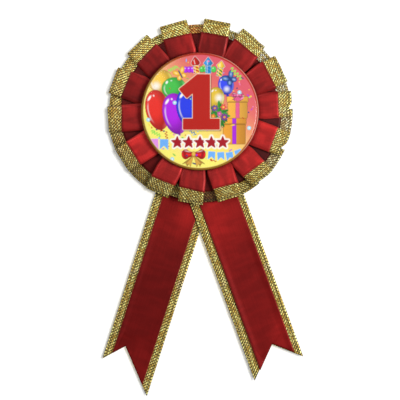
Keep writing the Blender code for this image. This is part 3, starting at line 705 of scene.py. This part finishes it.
    def present(self, left, right, low, high, box, ribbon):
        """A wrapped box with a lid, a ribbon round it and a soft shade on its right."""
        middle, lid = (left + right) / 2, high - 0.22 * (high - low)
        rounded = self.box(left + 0.7, right - 0.7, low + 0.3, lid) - 0.3
        cap = self.box(left + 0.3, right - 0.3, lid, high - 0.3) - 0.3
        painted_light_and_shade = (1.12 - 0.5 * smooth(self.x, left, right + 3))[..., None]
        for part, scale in ((rounded, 0.92), (cap, 1.08)):
            self.paint(part - 0.22, box * 0.35)
            self.paint(part, np.minimum(box * painted_light_and_shade * scale, 1))
            self.paint(np.maximum(part, np.abs(self.x - middle) - 0.95), ribbon * 0.6)
            self.paint(np.maximum(part, np.abs(self.x - middle) - 0.75), ribbon * painted_light_and_shade)
        self.paint(np.maximum(rounded, lid - 0.55 - self.z), box * 0.3, 0.3, 0.5)

    def bow(self, x, z, size, colour, tails, heart):
        """A bow with two folded loops, two ribbon ends and a knot."""
        for side in (-1, 1):
            for out, reach, share in ((0.75, 1.15, 0.6), (0.45, 1.2, 1.0)):
                end = [(x, z - 0.1 * size), (x + side * (out + 0.3) * size, z - (reach - 0.25) * size),
                       (x + side * out * size, z - (reach - 0.32) * size),
                       (x + side * (out - 0.15) * size, z - reach * size)]
                self.paint(self.shape(end) - 0.1, tails * 0.3)
                self.paint(self.shape(end), tails * share)
        for side in (-1, 1):
            pinch = self.shape([(x, z - 0.12 * size), (x + side * 0.75 * size, z - 0.42 * size),
                                (x + side * 0.75 * size, z + 0.42 * size), (x, z + 0.12 * size)])
            loop = np.minimum(pinch, self.oval(x + side * 0.75 * size, z, 0.36 * size, 0.44 * size, 0))
            turn = np.arctan2(self.z - z, side * (self.x - x) + 0.3 * size)
            self.paint(loop - 0.15, colour * 0.25)
            self.paint(loop, colour * (0.78 + 0.34 * np.cos(11 * turn + 0.5))[..., None])
            hollow = self.oval(x + side * 0.84 * size, z - 0.05 * size, 0.13 * size, 0.26 * size, -8 * side)
            self.paint(hollow, colour * 0.35, 0.2, 0.8)
            self.paint(self.oval(x + side * 0.6 * size, z + 0.28 * size, 0.26 * size, 0.05 * size, side * 14),
                       PAPER_WHITE, 0.2, 0.55)
        self.paint(self.oval(x, z, 0.2 * size, 0.28 * size), heart * 0.5)
        self.paint(self.oval(x, z + 0.04 * size, 0.14 * size, 0.2 * size), heart)


def star_outline(x, z, radius, inner=0.45):
    tips = [(radius if k % 2 == 0 else inner * radius, math.radians(36 * k)) for k in range(10)]
    return [(x + r * math.sin(a), z + r * math.cos(a)) for r, a in tips]


def ramp(share, stops):
    """Colours along stops of (share, colour)."""
    places = [at for at, _ in stops]
    return np.stack([np.interp(share, places, [colour[k] for _, colour in stops]) for k in range(3)], -1)


def paint_background(p):
    share = 0.45 + (0.62 * p.x + 0.78 * p.z) / 38
    stops = [(0.05, screen(253, 243, 118)), (0.32, screen(250, 222, 112)), (0.6, screen(240, 160, 112)),
             (0.82, screen(228, 112, 104)), (1.0, screen(222, 92, 108))]
    p.colour[:] = ramp(share, stops)
    p.glow(-8, -15, 9, screen(255, 215, 150), 0.5)


def paint_confetti(p, count, seed):
    """Small dots and slips scattered over the whole face."""
    rng = np.random.default_rng(seed)
    colours = (PRINT_LIME, PRINT_PINK, PRINT_SKY, PRINT_RED,
               PRINT_PURPLE, PRINT_YELLOW, PRINT_GREEN, PRINT_NAVY)
    for k in range(count):
        radius, angle = 25.3 * math.sqrt(rng.random()), 2 * math.pi * rng.random()
        x, z = radius * math.sin(angle), radius * math.cos(angle)
        size, tilt = 0.22 + 0.28 * rng.random(), 180 * rng.random()
        stretch = 2.4 if k % 3 == 0 else 1.0
        thin = 0.75 if stretch > 1 else 1.0
        p.paint(p.oval(x, z, size * stretch, size * thin, tilt), colours[k % len(colours)])


def paint_party(p):
    """Balloons, cake, candles, butterflies, pennants and streamers."""
    for colour, left, right, top in ((PRINT_PURPLE, -9.2, -2.6, 20.9), (PRINT_GREEN, 0.0, 7.4, 21.0)):
        steps = int((right - left) / 2.1)
        for k in range(steps + 1):
            x = left + (right - left) * (k + 0.5) / (steps + 1)
            p.paint(p.oval(x, top - 1.3, 1.3, 1.5), colour * 0.55)
            p.paint(p.oval(x, top - 1.2, 1.1, 1.3), np.minimum(colour * 1.15, 1))
            p.paint(p.oval(x - 0.3, top - 0.7, 0.35, 0.25), PAPER_WHITE, strength=0.6)
    drop = [(0, 2.2), (0.9, 1.1), (1.7, -0.2), (1.8, -0.9), (1.2, -1.5),
            (-1.2, -1.5), (-1.8, -0.9), (-1.7, -0.2), (-0.9, 1.1)]
    cone = [(0, 2.0), (2.0, -0.7), (1.4, -1.0), (1.3, -1.6), (-1.3, -1.6), (-1.4, -1.0), (-2.0, -0.7)]
    p.candle(-1.8, 20.0, 6, PRINT_YELLOW, PRINT_RED, PRINT_RED, drop)
    p.candle(3.9, 19.9, 0, PRINT_STEEL * 1.5, PRINT_STEEL, screen(45, 140, 205), cone)
    p.candle(9.3, 18.6, -10, PRINT_YELLOW, PRINT_LEAF, PRINT_YELLOW, [(0.85 * u, 0.8 * v) for u, v in cone])
    p.balloon(-18.4, 13.9, 5.6, 5.5, 20, screen(250, 200, 60))
    p.glow(-20.6, 11.9, 3.2, PAPER_WHITE)
    p.balloon(-12.3, 10.7, 5.6, 5.2, 10, screen(70, 190, 75))
    p.balloon(-20.0, 0.6, 5.5, 9.4, 11, screen(232, 45, 35))
    p.balloon(12.3, 12.3, 3.6, 4.5, 8, screen(55, 75, 235))
    p.glow(12.6, 10.4, 2.2, PAPER_WHITE, 0.8)
    p.balloon(7.4, 5.8, 3.9, 5.4, -6, screen(226, 190, 60))
    p.glow(9.0, 6.2, 3.0, PAPER_WHITE)
    p.balloon(-11.5, -1.2, 5.9, 9.6, 10, screen(178, 35, 228))
    p.balloon(-4.6, 1.6, 6.4, 9.6, 8, screen(42, 62, 228))
    p.butterfly(-9.2, 17.4, 2.9, 28, PRINT_YELLOW, PRINT_GOLD)
    p.butterfly(14.2, 15.2, 3.1, 38, screen(80, 125, 190), screen(40, 70, 130))
    p.streamer((14.6, 20.2), (19.6, 15.3), 0.9, 4, 0.22, PRINT_LIME)
    p.streamer((-14.8, 19.0), (-10.8, 21.2), 0.7, 4, 0.2, PRINT_LIME)
    p.streamer((-23.0, -9.4), (-18.6, -11.6), 0.7, 4, 0.2, PRINT_LIME)
    p.streamer((-16.1, -9.6), (-15.0, -17.6), 0.55, 6, 0.16, PRINT_RED)
    p.streamer((-4.8, -9.4), (-1.8, -10.8), 0.45, 2, 0.2, PRINT_STEEL)
    p.streamer((4.8, -22.8), (7.6, -23.6), 0.25, 2, 0.18, PRINT_RED)
    for x, z, tilt in ((5.6, -19.0, -4), (9.7, -19.3, 4), (13.7, -19.3, 10), (17.6, -18.2, 20)):
        p.pennant(x, z, 3.3, 3.9, tilt, PRINT_SKY)
    p.pennant(-16.9, -13.2, 4.0, 5.0, -2, PRINT_SKY)
    p.pennant(-21.8, -13.0, 4.2, 6.4, 2, screen(232, 150, 235))


def paint_gifts(p):
    """Two wrapped boxes and a bunch of flowers on the right, and a bow at the bottom."""
    p.present(10.6, 21.7, -15.4, -3.2, screen(236, 160, 52), PRINT_PURPLE)
    p.present(12.8, 22.6, -3.2, 6.8, screen(245, 180, 70), screen(235, 95, 150))
    p.bow(17.7, 7.6, 2.4, screen(238, 100, 155), screen(235, 95, 150), screen(250, 150, 190))
    rng = np.random.default_rng(5)
    for k in range(26):
        a, reach = 2 * math.pi * k / 26, 1.5 + 2.6 * rng.random()
        leaf = PRINT_LEAF * (0.8 + 0.8 * rng.random())
        x, z = 8.9 + reach * math.sin(a), -1.5 + 1.35 * reach * math.cos(a)
        p.paint(p.oval(x, z, 0.6, 1.6, -math.degrees(a)), leaf)
    for x, z, radius, petals, colour, heart in (
            (7.0, 1.4, 1.7, 7, screen(125, 75, 160), PRINT_GOLD),
            (11.0, 1.9, 1.6, 6, screen(240, 95, 80), PRINT_YELLOW),
            (11.5, -2.8, 2.0, 8, screen(130, 60, 150), PRINT_GOLD),
            (9.2, -1.2, 1.4, 5, screen(205, 95, 160), PRINT_PINK),
            (6.2, -2.4, 1.3, 5, PRINT_ORANGE, PRINT_YELLOW),
            (8.4, -5.2, 1.5, 5, screen(245, 90, 40), PRINT_YELLOW)):
        p.flower(x, z, radius, petals, colour, heart)
    p.bow(-3.0, -20.3, 5.0, screen(232, 35, 38), screen(222, 170, 75), screen(235, 185, 80))


def paint_numeral(p):
    """A plain figure one, with a pale outline and a shadow under its lower right."""
    outline = [(-3.0, -3.9), (-3.0, 9.2), (-6.2, 6.6), (-9.4, 10.3), (-1.2, 17.0), (4.3, 17.0), (4.3, -3.9),
               (8.9, -3.9), (8.9, -8.3), (-7.6, -8.3), (-7.6, -3.9)]
    figure = p.shape(outline) - 0.45
    shadow = Print(p.x - 0.55, p.z + 0.6).shape(outline) - 0.5
    p.paint(shadow, screen(60, 30, 20), 0.5, 0.75)
    p.paint(figure - 0.3, screen(245, 225, 190), strength=0.9)
    p.paint(figure, PRINT_RED)
    p.paint(figure + 0.5, PRINT_RED * 0.93)


def paint_stars(p):
    """A row of five small stars under the numeral."""
    for k in range(5):
        star = p.shape(star_outline(5.35 * (k - 2), -14.7, 2.75)) - 0.25
        p.paint(star - 0.75, PAPER_WHITE, 0.4, 0.9)
        p.paint(star, PRINT_DEEP_RED)


def paint_rim(p):
    """The printed edge: gold at the left and bottom and red at the top and right, with a pale line at its
    inner edge, a pale painted highlight along the outside on the right, and painted shade over the rim's
    outer turn.
    """
    radius, angle = np.hypot(p.x, p.z), np.arctan2(p.x, p.z)
    warm = smooth(np.cos(angle - math.radians(48)), -0.35, 0.6)[..., None]
    band = screen(168, 122, 38) * (1 - warm) + screen(186, 52, 34) * warm
    dark = screen(92, 62, 14) * (1 - warm) + screen(120, 30, 24) * warm
    p.paint(RIM_START - radius, band, 0.2)
    p.paint(np.abs(radius - RIM_START) - 0.12, screen(255, 240, 150) * (1 - warm) + band * warm, 0.2, 0.6)
    # Painted highlight: a pale pink line along the right side of the rim.
    painted_highlight_side = smooth(np.cos(angle - math.radians(75)), 0.25, 0.8)
    p.paint(np.abs(radius - 27.75) - 0.22, screen(244, 178, 158), 0.2, 0.9 * painted_highlight_side)
    # Painted shade: darker colour over the rim's outer turn.
    p.paint(28.1 - radius, dark, 0.35)


def face_profile(inset, count):
    """The button's face from its middle, over the rim and in behind it: radius and height, evenly spaced."""
    shoulder, rim = BUTTON_RADIUS - RIM_ROUND, RIM_ROUND - inset
    top = BUTTON_FRONT - inset
    crown = [(shoulder * k / 30, top - BUTTON_CROWN * (k / 30) ** 2) for k in range(31)]
    turn = [(shoulder + rim * math.sin(a), top - BUTTON_CROWN - rim * (1 - math.cos(a)))
            for a in np.radians(np.linspace(7, 90, 12))]
    low = BUTTON_REAR + inset + 0.5 * MM
    tuck = [(shoulder + rim - 0.5 * MM * (1 - math.cos(a)), low - 0.5 * MM * math.sin(a))
            for a in np.radians(np.linspace(0, 90, 6))]
    path = np.array([*crown, *turn, *tuck, (shoulder - 0.4 * MM, low - 0.5 * MM)])
    run = np.r_[0, np.cumsum(np.linalg.norm(np.diff(path, axis=0), axis=1))]
    at = np.linspace(0, run[-1], count)
    return np.interp(at, run, path[:, 0]), np.interp(at, run, path[:, 1]), at


def turned_sheet(name, radius, height, columns, material):
    """A round surface about the button's axis, from radii and heights in metres."""
    angle = np.linspace(0, 2 * np.pi, columns, endpoint=False)
    radius = np.maximum(radius, 0.002 * MM)
    points = np.stack([radius[:, None] * np.sin(angle), np.repeat(-height[:, None], columns, 1),
                       radius[:, None] * np.cos(angle)], -1)
    uv = points[..., [0, 2]]
    return grid_object(name, points, uv, wrap=True, materials=[material])


def print_material():
    """Printed paper under clear film: the painted colours, with paper fibre and the film's gloss."""
    s = Shader("printed_paper", roughness=0.42, Specular_IOR_Level=0.15,
               Coat_Weight=0.25, Coat_Roughness=0.12)
    painted = s.node("Attribute", settings={"attribute_name": "print"})
    place = s.node("TexCoord", output="Object")
    fibre = s.noise(place, 2600.0, 3.0, 0.6)
    shade = s.mix(s.steps(fibre, 0.3, 0.75), (0.9, 0.9, 0.9), (1.0, 1.0, 1.0))
    s.put(s.bsdf, "Base Color", s.mix(1.0, painted, shade, "MULTIPLY"))
    s.put(s.bsdf, "Roughness", s.plus(0.34, s.times(s.noise(place, 300.0), 0.14)))
    s.bump(s.noise(place, 90.0, 2.0), 0.05, 0.3 * MM)
    return s.material


def film_material():
    """Clear film: nearly all see-through, with a sharp gloss and faint rub marks."""
    s = Shader("clear_film", (0.02, 0.02, 0.02), 0.06, Alpha=0.07, Specular_IOR_Level=0.9)
    place = s.node("TexCoord", output="Object")
    rubs = s.noise(place, 160.0, 4.0, 0.7)
    s.put(s.bsdf, "Roughness", s.plus(0.1, s.times(s.steps(rubs, 0.5, 0.8), 0.12)))
    return s.material


def make_button():
    radius, height, run = face_profile(0.15 * MM, FACE_ROWS)
    paper = turned_sheet("printed_face", radius, height, FACE_COLUMNS, print_material())
    flat = np.repeat((run / MM)[:, None], FACE_COLUMNS, 1)
    angle = np.linspace(0, 2 * np.pi, FACE_COLUMNS, endpoint=False)
    picture = Print(flat * np.sin(angle), flat * np.cos(angle))
    paint_background(picture)
    paint_confetti(picture, 150, 3)
    paint_party(picture)
    paint_gifts(picture)
    paint_confetti(picture, 26, 11)
    for x, z in ((-11.9, 4.0), (-24.4, -4.0), (23.2, -7.9), (-13.1, -22.6), (18.6, 8.9)):
        picture.paint(picture.oval(x, z, 0.95, 0.95), PRINT_AQUA)
        picture.paint(picture.oval(x, z, 0.4, 0.4), PAPER_WHITE)
    paint_numeral(picture)
    paint_stars(picture)
    paint_rim(picture)
    layer = paper.data.color_attributes.new("print", "FLOAT_COLOR", "POINT")
    rgba = np.concatenate([np.clip(picture.colour, 0, 1), np.ones((*flat.shape, 1))], -1)
    layer.data.foreach_set("color", rgba.reshape(-1).astype(np.float32))
    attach(paper, "rosette")
    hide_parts("button_artwork")
    radius, height, _ = face_profile(0.02 * MM, FILM_ROWS)
    film = turned_sheet("face_film", radius, height, FILM_COLUMNS, film_material())
    film.visible_shadow = False
    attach(film, "rosette")
    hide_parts("button_film")


# ---------------------------------------------------------------- the back
FELT_BEND = 3.1 * MM  # how far the felt's rim comes forward to the card
FELT_BEND_RING = (22.8 * MM, 27.6 * MM)
FELT_BEND_ENDS = (120, 138)  # where the bend fades, in degrees from the top


def felt_material():
    """Off-white felt: matted fibres in every direction, a few darker hairs, and a soft sheen."""
    s = Shader("white_felt", roughness=0.95, Specular_IOR_Level=0.1, Sheen_Weight=0.35, Sheen_Roughness=0.6)
    place = s.node("TexCoord", output="Object")
    swirl = s.noise(place, 420.0, 4.0, 0.7)
    hairs = s.node("TexVoronoi", settings={"feature": "DISTANCE_TO_EDGE"}, Vector=place, Scale=1500.0)
    hair = s.steps(hairs, 0.09, 0.02)
    clumps = s.noise(place, 120.0, 3.0)
    shade = s.mix(s.steps(swirl, 0.3, 0.7), (0.52, 0.49, 0.43), (0.78, 0.76, 0.71))
    shade = s.mix(s.times(hair, 0.45), shade, (0.36, 0.33, 0.28))
    shade = s.mix(s.times(s.steps(clumps, 0.45, 0.75), 0.25), shade, (0.86, 0.85, 0.82))
    s.put(s.bsdf, "Base Color", shade)
    s.bump(s.plus(swirl, s.times(hair, -0.6)), 0.6, 0.25 * MM)
    return s.material


def card_material():
    """Grey board: recycled paper fibres, and the ply lines of its cut edge."""
    s = Shader("grey_board", roughness=0.9, Specular_IOR_Level=0.15)
    place = s.node("TexCoord", output="Object")
    split = s.tree.nodes.new("ShaderNodeSeparateXYZ")
    s.tree.links.new(place, split.inputs[0])
    fleck = s.steps(s.noise(place, 2200.0, 3.0, 0.7), 0.55, 0.7)
    shade = s.mix(s.noise(place, 700.0, 4.0, 0.6), (0.33, 0.28, 0.21), (0.50, 0.44, 0.35))
    shade = s.mix(s.times(fleck, 0.5), shade, (0.20, 0.17, 0.13))
    plies = s.math("SINE", s.times(split.outputs[1], 2 * math.pi / (0.16 * MM)))
    shade = s.mix(s.times(s.steps(plies, 0.4, 0.9), 0.25), shade, (0.24, 0.2, 0.15))
    s.put(s.bsdf, "Base Color", shade)
    s.bump(s.noise(place, 900.0, 4.0), 0.4, 0.1 * MM)
    return s.material


def glue_material():
    """Set hot-melt glue: milky, slightly see-through, with a waxy gloss and faint ripples."""
    s = Shader("hot_glue", roughness=0.28, Specular_IOR_Level=0.5, Subsurface_Weight=0.3,
               Subsurface_Scale=0.5 * MM, Subsurface_Radius=(1.0, 0.9, 0.75))
    place = s.node("TexCoord", output="Object")
    cloud = s.noise(place, 350.0, 3.0)
    s.put(s.bsdf, "Base Color", s.mix(s.steps(cloud, 0.35, 0.7), (0.66, 0.60, 0.42), (0.84, 0.80, 0.66)))
    s.put(s.bsdf, "Roughness", s.plus(0.2, s.times(cloud, 0.2)))
    s.bump(s.noise(place, 500.0, 2.0), 0.3, 0.15 * MM)
    return s.material


def metal_material(name, colour, roughness, grain, axis):
    """Plated metal: fine drawing lines along an axis, soft stains, and scattered scratches."""
    s = Shader(name, roughness=roughness, Metallic=1.0)
    place = s.node("TexCoord", output="Object")
    stretched = s.node("VectorMath", settings={"operation": "MULTIPLY"}, Vector=place)
    stretched.node.inputs[1].default_value = tuple(0.06 if k == axis else 1.0 for k in range(3))
    lines = s.noise(stretched, grain, 3.0, 0.6)
    stain = s.noise(place, 260.0, 3.0)
    scratch = s.steps(s.noise(stretched, 2.5 * grain, 2.0), 0.66, 0.72)
    shade = s.mix(s.steps(stain, 0.3, 0.75), tuple(0.8 * c for c in colour), colour)
    shade = s.mix(s.times(scratch, 0.4), shade, tuple(0.55 * c for c in colour))
    s.put(s.bsdf, "Base Color", shade)
    s.put(s.bsdf, "Roughness", s.plus(roughness - 0.06, s.times(lines, 0.2)))
    s.bump(s.plus(lines, s.times(scratch, -0.5)), 0.15, 0.03 * MM)
    return s.material


def thread_material():
    """Red sewing thread: two plies twisted round each other."""
    s = Shader("red_thread", roughness=0.7, Specular_IOR_Level=0.2, Sheen_Weight=0.2)
    place = s.node("TexCoord", output="Object")
    twist = s.noise(place, 1800.0, 2.0)
    s.put(s.bsdf, "Base Color", s.mix(s.steps(twist, 0.35, 0.65), (0.16, 0.01, 0.012), (0.42, 0.03, 0.03)))
    s.bump(twist, 0.6, 0.1 * MM)
    return s.material


def bend_rim(felt):
    """Bends the felt's rim forward to the card, all round except where the tails come out below."""
    for vertex in felt.data.vertices:
        x, _, z = vertex.co
        from_top = math.degrees(math.atan2(abs(x), z))
        share = 1 - smooth(from_top, *FELT_BEND_ENDS)
        vertex.co.y -= FELT_BEND * share * smooth(math.hypot(x, z), *FELT_BEND_RING)


def make_felt():
    """The backing disc: a soft rounded edge, and a face that isn't quite flat."""
    low, high, radius, edge = 0.0, 1.2 * MM, 28.0 * MM, 0.35 * MM
    face = np.linspace(0, radius - edge, 48)
    turn = np.radians(np.linspace(0, 90, 6))
    rear = [(r, low) for r in face]
    rear += [(radius - edge + edge * math.sin(a), low + edge * (1 - math.cos(a))) for a in turn]
    front = [(r, high - (h - low)) for r, h in rear[::-1]]
    profile = np.array([*rear, *front])
    felt = turned_sheet("felt_disc", profile[:, 0], profile[:, 1], 300, felt_material())
    bend_rim(felt)
    ripple = bpy.data.textures.new("felt_ripple", "CLOUDS")
    ripple.noise_scale = 1.6 * MM
    swell = felt.modifiers.new("matted_surface", "DISPLACE")
    swell.texture, swell.strength, swell.mid_level = ripple, 0.22 * MM, 0.75
    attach(felt, "rosette")
    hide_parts("backing_felt")


def make_card():
    low, high, radius, edge = 4.5 * MM, 5.3 * MM, 29.0 * MM, 0.12 * MM
    profile = np.array([
        (0, low), (0.5 * radius, low), (radius - edge, low), (radius - 0.3 * edge, low + 0.3 * edge),
        (radius, low + edge), (radius, high - edge), (radius - 0.3 * edge, high - 0.3 * edge),
        (radius - edge, high), (0.5 * radius, high), (0, high)])
    card = turned_sheet("card_disc", profile[:, 0], profile[:, 1], 180, card_material())
    card.data.set_sharp_from_angle(angle=math.radians(50))
    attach(card, "rosette")
    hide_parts("rosette_card")


def make_pin_glue(material):
    """The bead of glue under the pin's plate, squeezed out unevenly round its edge."""
    columns, rows = 160, 14
    angle = np.linspace(0, 2 * np.pi, columns, endpoint=False)
    long_half, short_half, top = 17.7 * MM, 3.2 * MM, 0.92 * MM
    straight = long_half - short_half
    squeeze = 1 + 0.10 * np.sin(7 * angle + 0.6) + 0.07 * np.sin(17 * angle) + 0.05 * np.sin(29 * angle + 1.9)
    ends = np.clip(short_half * np.cos(angle) * 40, -straight, straight)
    edge_x = ends + short_half * squeeze * np.cos(angle)
    edge_z = short_half * squeeze * np.sin(angle)
    share = np.linspace(0, 1, rows)
    inward = np.cos(share * np.pi / 2)
    level = top * np.sin(share * np.pi / 2)
    spread = 1 - 0.55 * (1 - inward)
    points = np.stack([edge_x * (1 - (1 - spread[:, None]) * 0.16),
                       np.repeat(level[:, None] + 0.03 * MM, columns, 1),
                       PIN_Z + edge_z * spread[:, None]], -1)
    lid = np.stack([points[-1, :, 0] * 0.5, points[-1, :, 1], PIN_Z + 0 * edge_z], -1)
    points = np.concatenate([points, lid[None]])
    bead = grid_object("pin_glue_bead", points, points[..., [0, 2]], wrap=True, materials=[material])
    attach(bead, "rosette")
    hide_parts("pin_glue")


def refined(node, name, body, material, bevel):
    """A copy of a CAD node with its flat faces joined, its sharp edges rounded and its round faces smooth."""
    obj = bpy.data.objects.new(name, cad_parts[node].data.copy())
    bpy.context.scene.collection.objects.link(obj)
    work = bmesh.new()
    work.from_mesh(obj.data)
    bmesh.ops.remove_doubles(work, verts=work.verts, dist=0.001 * MM)
    bmesh.ops.dissolve_limit(work, angle_limit=math.radians(1), verts=work.verts, edges=work.edges)
    work.to_mesh(obj.data)
    work.free()
    obj.data.shade_smooth()
    obj.data.materials.clear()
    obj.data.materials.append(material)
    rounding = obj.modifiers.new("rounded_edges", "BEVEL")
    rounding.width, rounding.segments = bevel, 2
    rounding.limit_method, rounding.angle_limit = "ANGLE", math.radians(35)
    rounding.harden_normals = True
    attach(obj, body)
    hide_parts(node)


def dress(node, material):
    """Gives a CAD node that stays its finished material."""
    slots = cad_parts[node].material_slots
    for slot in slots:
        slot.material = material


def make_back():
    glue = glue_material()
    steel = metal_material("nickel_plate", (0.72, 0.70, 0.66), 0.24, 2600.0, 0)
    tin = metal_material("bright_tinplate", (0.66, 0.66, 0.63), 0.3, 1400.0, 2)
    make_felt()
    make_card()
    make_pin_glue(glue)
    for node, name, body, bevel in (
            ("pin_base_plate", "pin_plate", "rosette", 0.1 * MM),
            ("pin_rivet", "hinge_rivet", "rosette", 0.06 * MM),
            ("pin_catch", "catch_collar", "rosette", 0.08 * MM),
            ("pin_needle", "needle_wire", "needle", 0.04 * MM),
            ("catch_barrel", "turning_lock", "safety_lock", 0.07 * MM)):
        refined(node, name, body, steel, bevel)
    for node, material in (("button_shell", tin), ("button_back", tin), ("button_glue", glue),
                           ("tail_glue", glue), ("felt_glue", glue), ("pleat_thread", thread_material())):
        dress(node, material)


# ---------------------------------------------------------------- camera, light and backdrop
def make_stage():
    """A white wall close behind the ribbon, seen only from the front."""
    mesh = bpy.data.meshes.new("backdrop")
    half = WALL_HALF
    corners = [(-half, 0, -half), (half, 0, -half), (half, 0, half), (-half, 0, half)]
    mesh.from_pydata(corners, [], [(0, 1, 2, 3)])
    wall = bpy.data.objects.new("backdrop", mesh)
    bpy.context.scene.collection.objects.link(wall)
    wall.location = (0, WALL_DISTANCE, 0)
    wall.visible_shadow = False
    s = Shader("backdrop_white", (0.93, 0.93, 0.93), 0.9)
    back = s.node("NewGeometry", output="Backfacing")
    clear = s.tree.nodes.new("ShaderNodeBsdfTransparent")
    mixer = s.tree.nodes.new("ShaderNodeMixShader")
    s.tree.links.new(back, mixer.inputs[0])
    s.tree.links.new(s.bsdf.outputs[0], mixer.inputs[1])
    s.tree.links.new(clear.outputs[0], mixer.inputs[2])
    s.tree.links.new(mixer.outputs[0], s.tree.nodes["Material Output"].inputs["Surface"])
    mesh.materials.append(s.material)
    return wall


def light_group(name, wall, state):
    """Which objects a light reaches: only the wall, or everything but the wall."""
    group = bpy.data.collections.new(name)
    group.objects.link(wall)
    group.collection_objects[0].light_linking.link_state = state
    return group


def add_light(name, size, energy, place, target, group, colour=(1, 1, 1)):
    data = bpy.data.lights.new(name, "AREA")
    data.shape, data.size, data.energy, data.color = "DISK", size, energy, colour
    obj = bpy.data.objects.new(name, data)
    obj.location = place
    obj.rotation_euler = (Vector(target) - Vector(place)).to_track_quat("-Z", "Y").to_euler()
    obj.light_linking.receiver_collection = group
    bpy.context.scene.collection.objects.link(obj)
    return data


ROOM_LIGHT, ROOM_SEEN = 0.2, 1.0  # how bright the room is as a light, and as a background


def make_lights(wall):
    world = bpy.data.worlds.new("studio")
    world.use_nodes = True
    tree = world.node_tree
    background = tree.nodes["Background"]
    background.inputs[0].default_value = (1, 1, 1, 1)
    seen = tree.nodes.new("ShaderNodeLightPath").outputs["Is Camera Ray"]
    strength = tree.nodes.new("ShaderNodeMapRange")
    tree.links.new(seen, strength.inputs["Value"])
    strength.inputs["To Min"].default_value, strength.inputs["To Max"].default_value = ROOM_LIGHT, ROOM_SEEN
    tree.links.new(strength.outputs[0], background.inputs[1])
    bpy.context.scene.world = world
    middle = (0, 0, -0.03)
    others = light_group("all_but_the_wall", wall, "EXCLUDE")
    only_wall = light_group("the_wall", wall, "INCLUDE")
    add_light("key", 0.42, 8.0, (0.6, -0.75, -0.05), middle, others)
    add_light("fill", 0.7, 5.0, (-0.45, -0.9, 0.35), middle, others)
    add_light("rear", 0.8, 9.0, (-0.3, 0.9, 0.5), middle, others)
    add_light("wall_light", 0.24, 31.5, (0.19, -2.0, 0.02), middle, only_wall)
    soft = add_light("wall_wash", 0.25, 10.0, (0.0, -2.0, 0.02), middle, only_wall, (0.9, 0.95, 1.0))
    soft.use_shadow = False


def make_camera():
    data = bpy.data.cameras.new("camera")
    obj = bpy.data.objects.new("camera", data)
    bpy.context.scene.collection.objects.link(obj)
    bpy.context.scene.camera = obj
    distance, view_width = 1.4, 0.189
    front = -8 * MM
    data.sensor_width = 36
    data.lens = data.sensor_width * distance / view_width
    data.clip_start, data.clip_end = 0.05, 20
    obj.location = (0, front - distance, -41.8 * MM)
    obj.rotation_euler = (math.radians(90), 0, 0)


bpy.context.scene.view_settings.view_transform = "Standard"
make_camera()
make_lights(make_stage())
make_rosette()
make_tails()
make_button()
make_back()
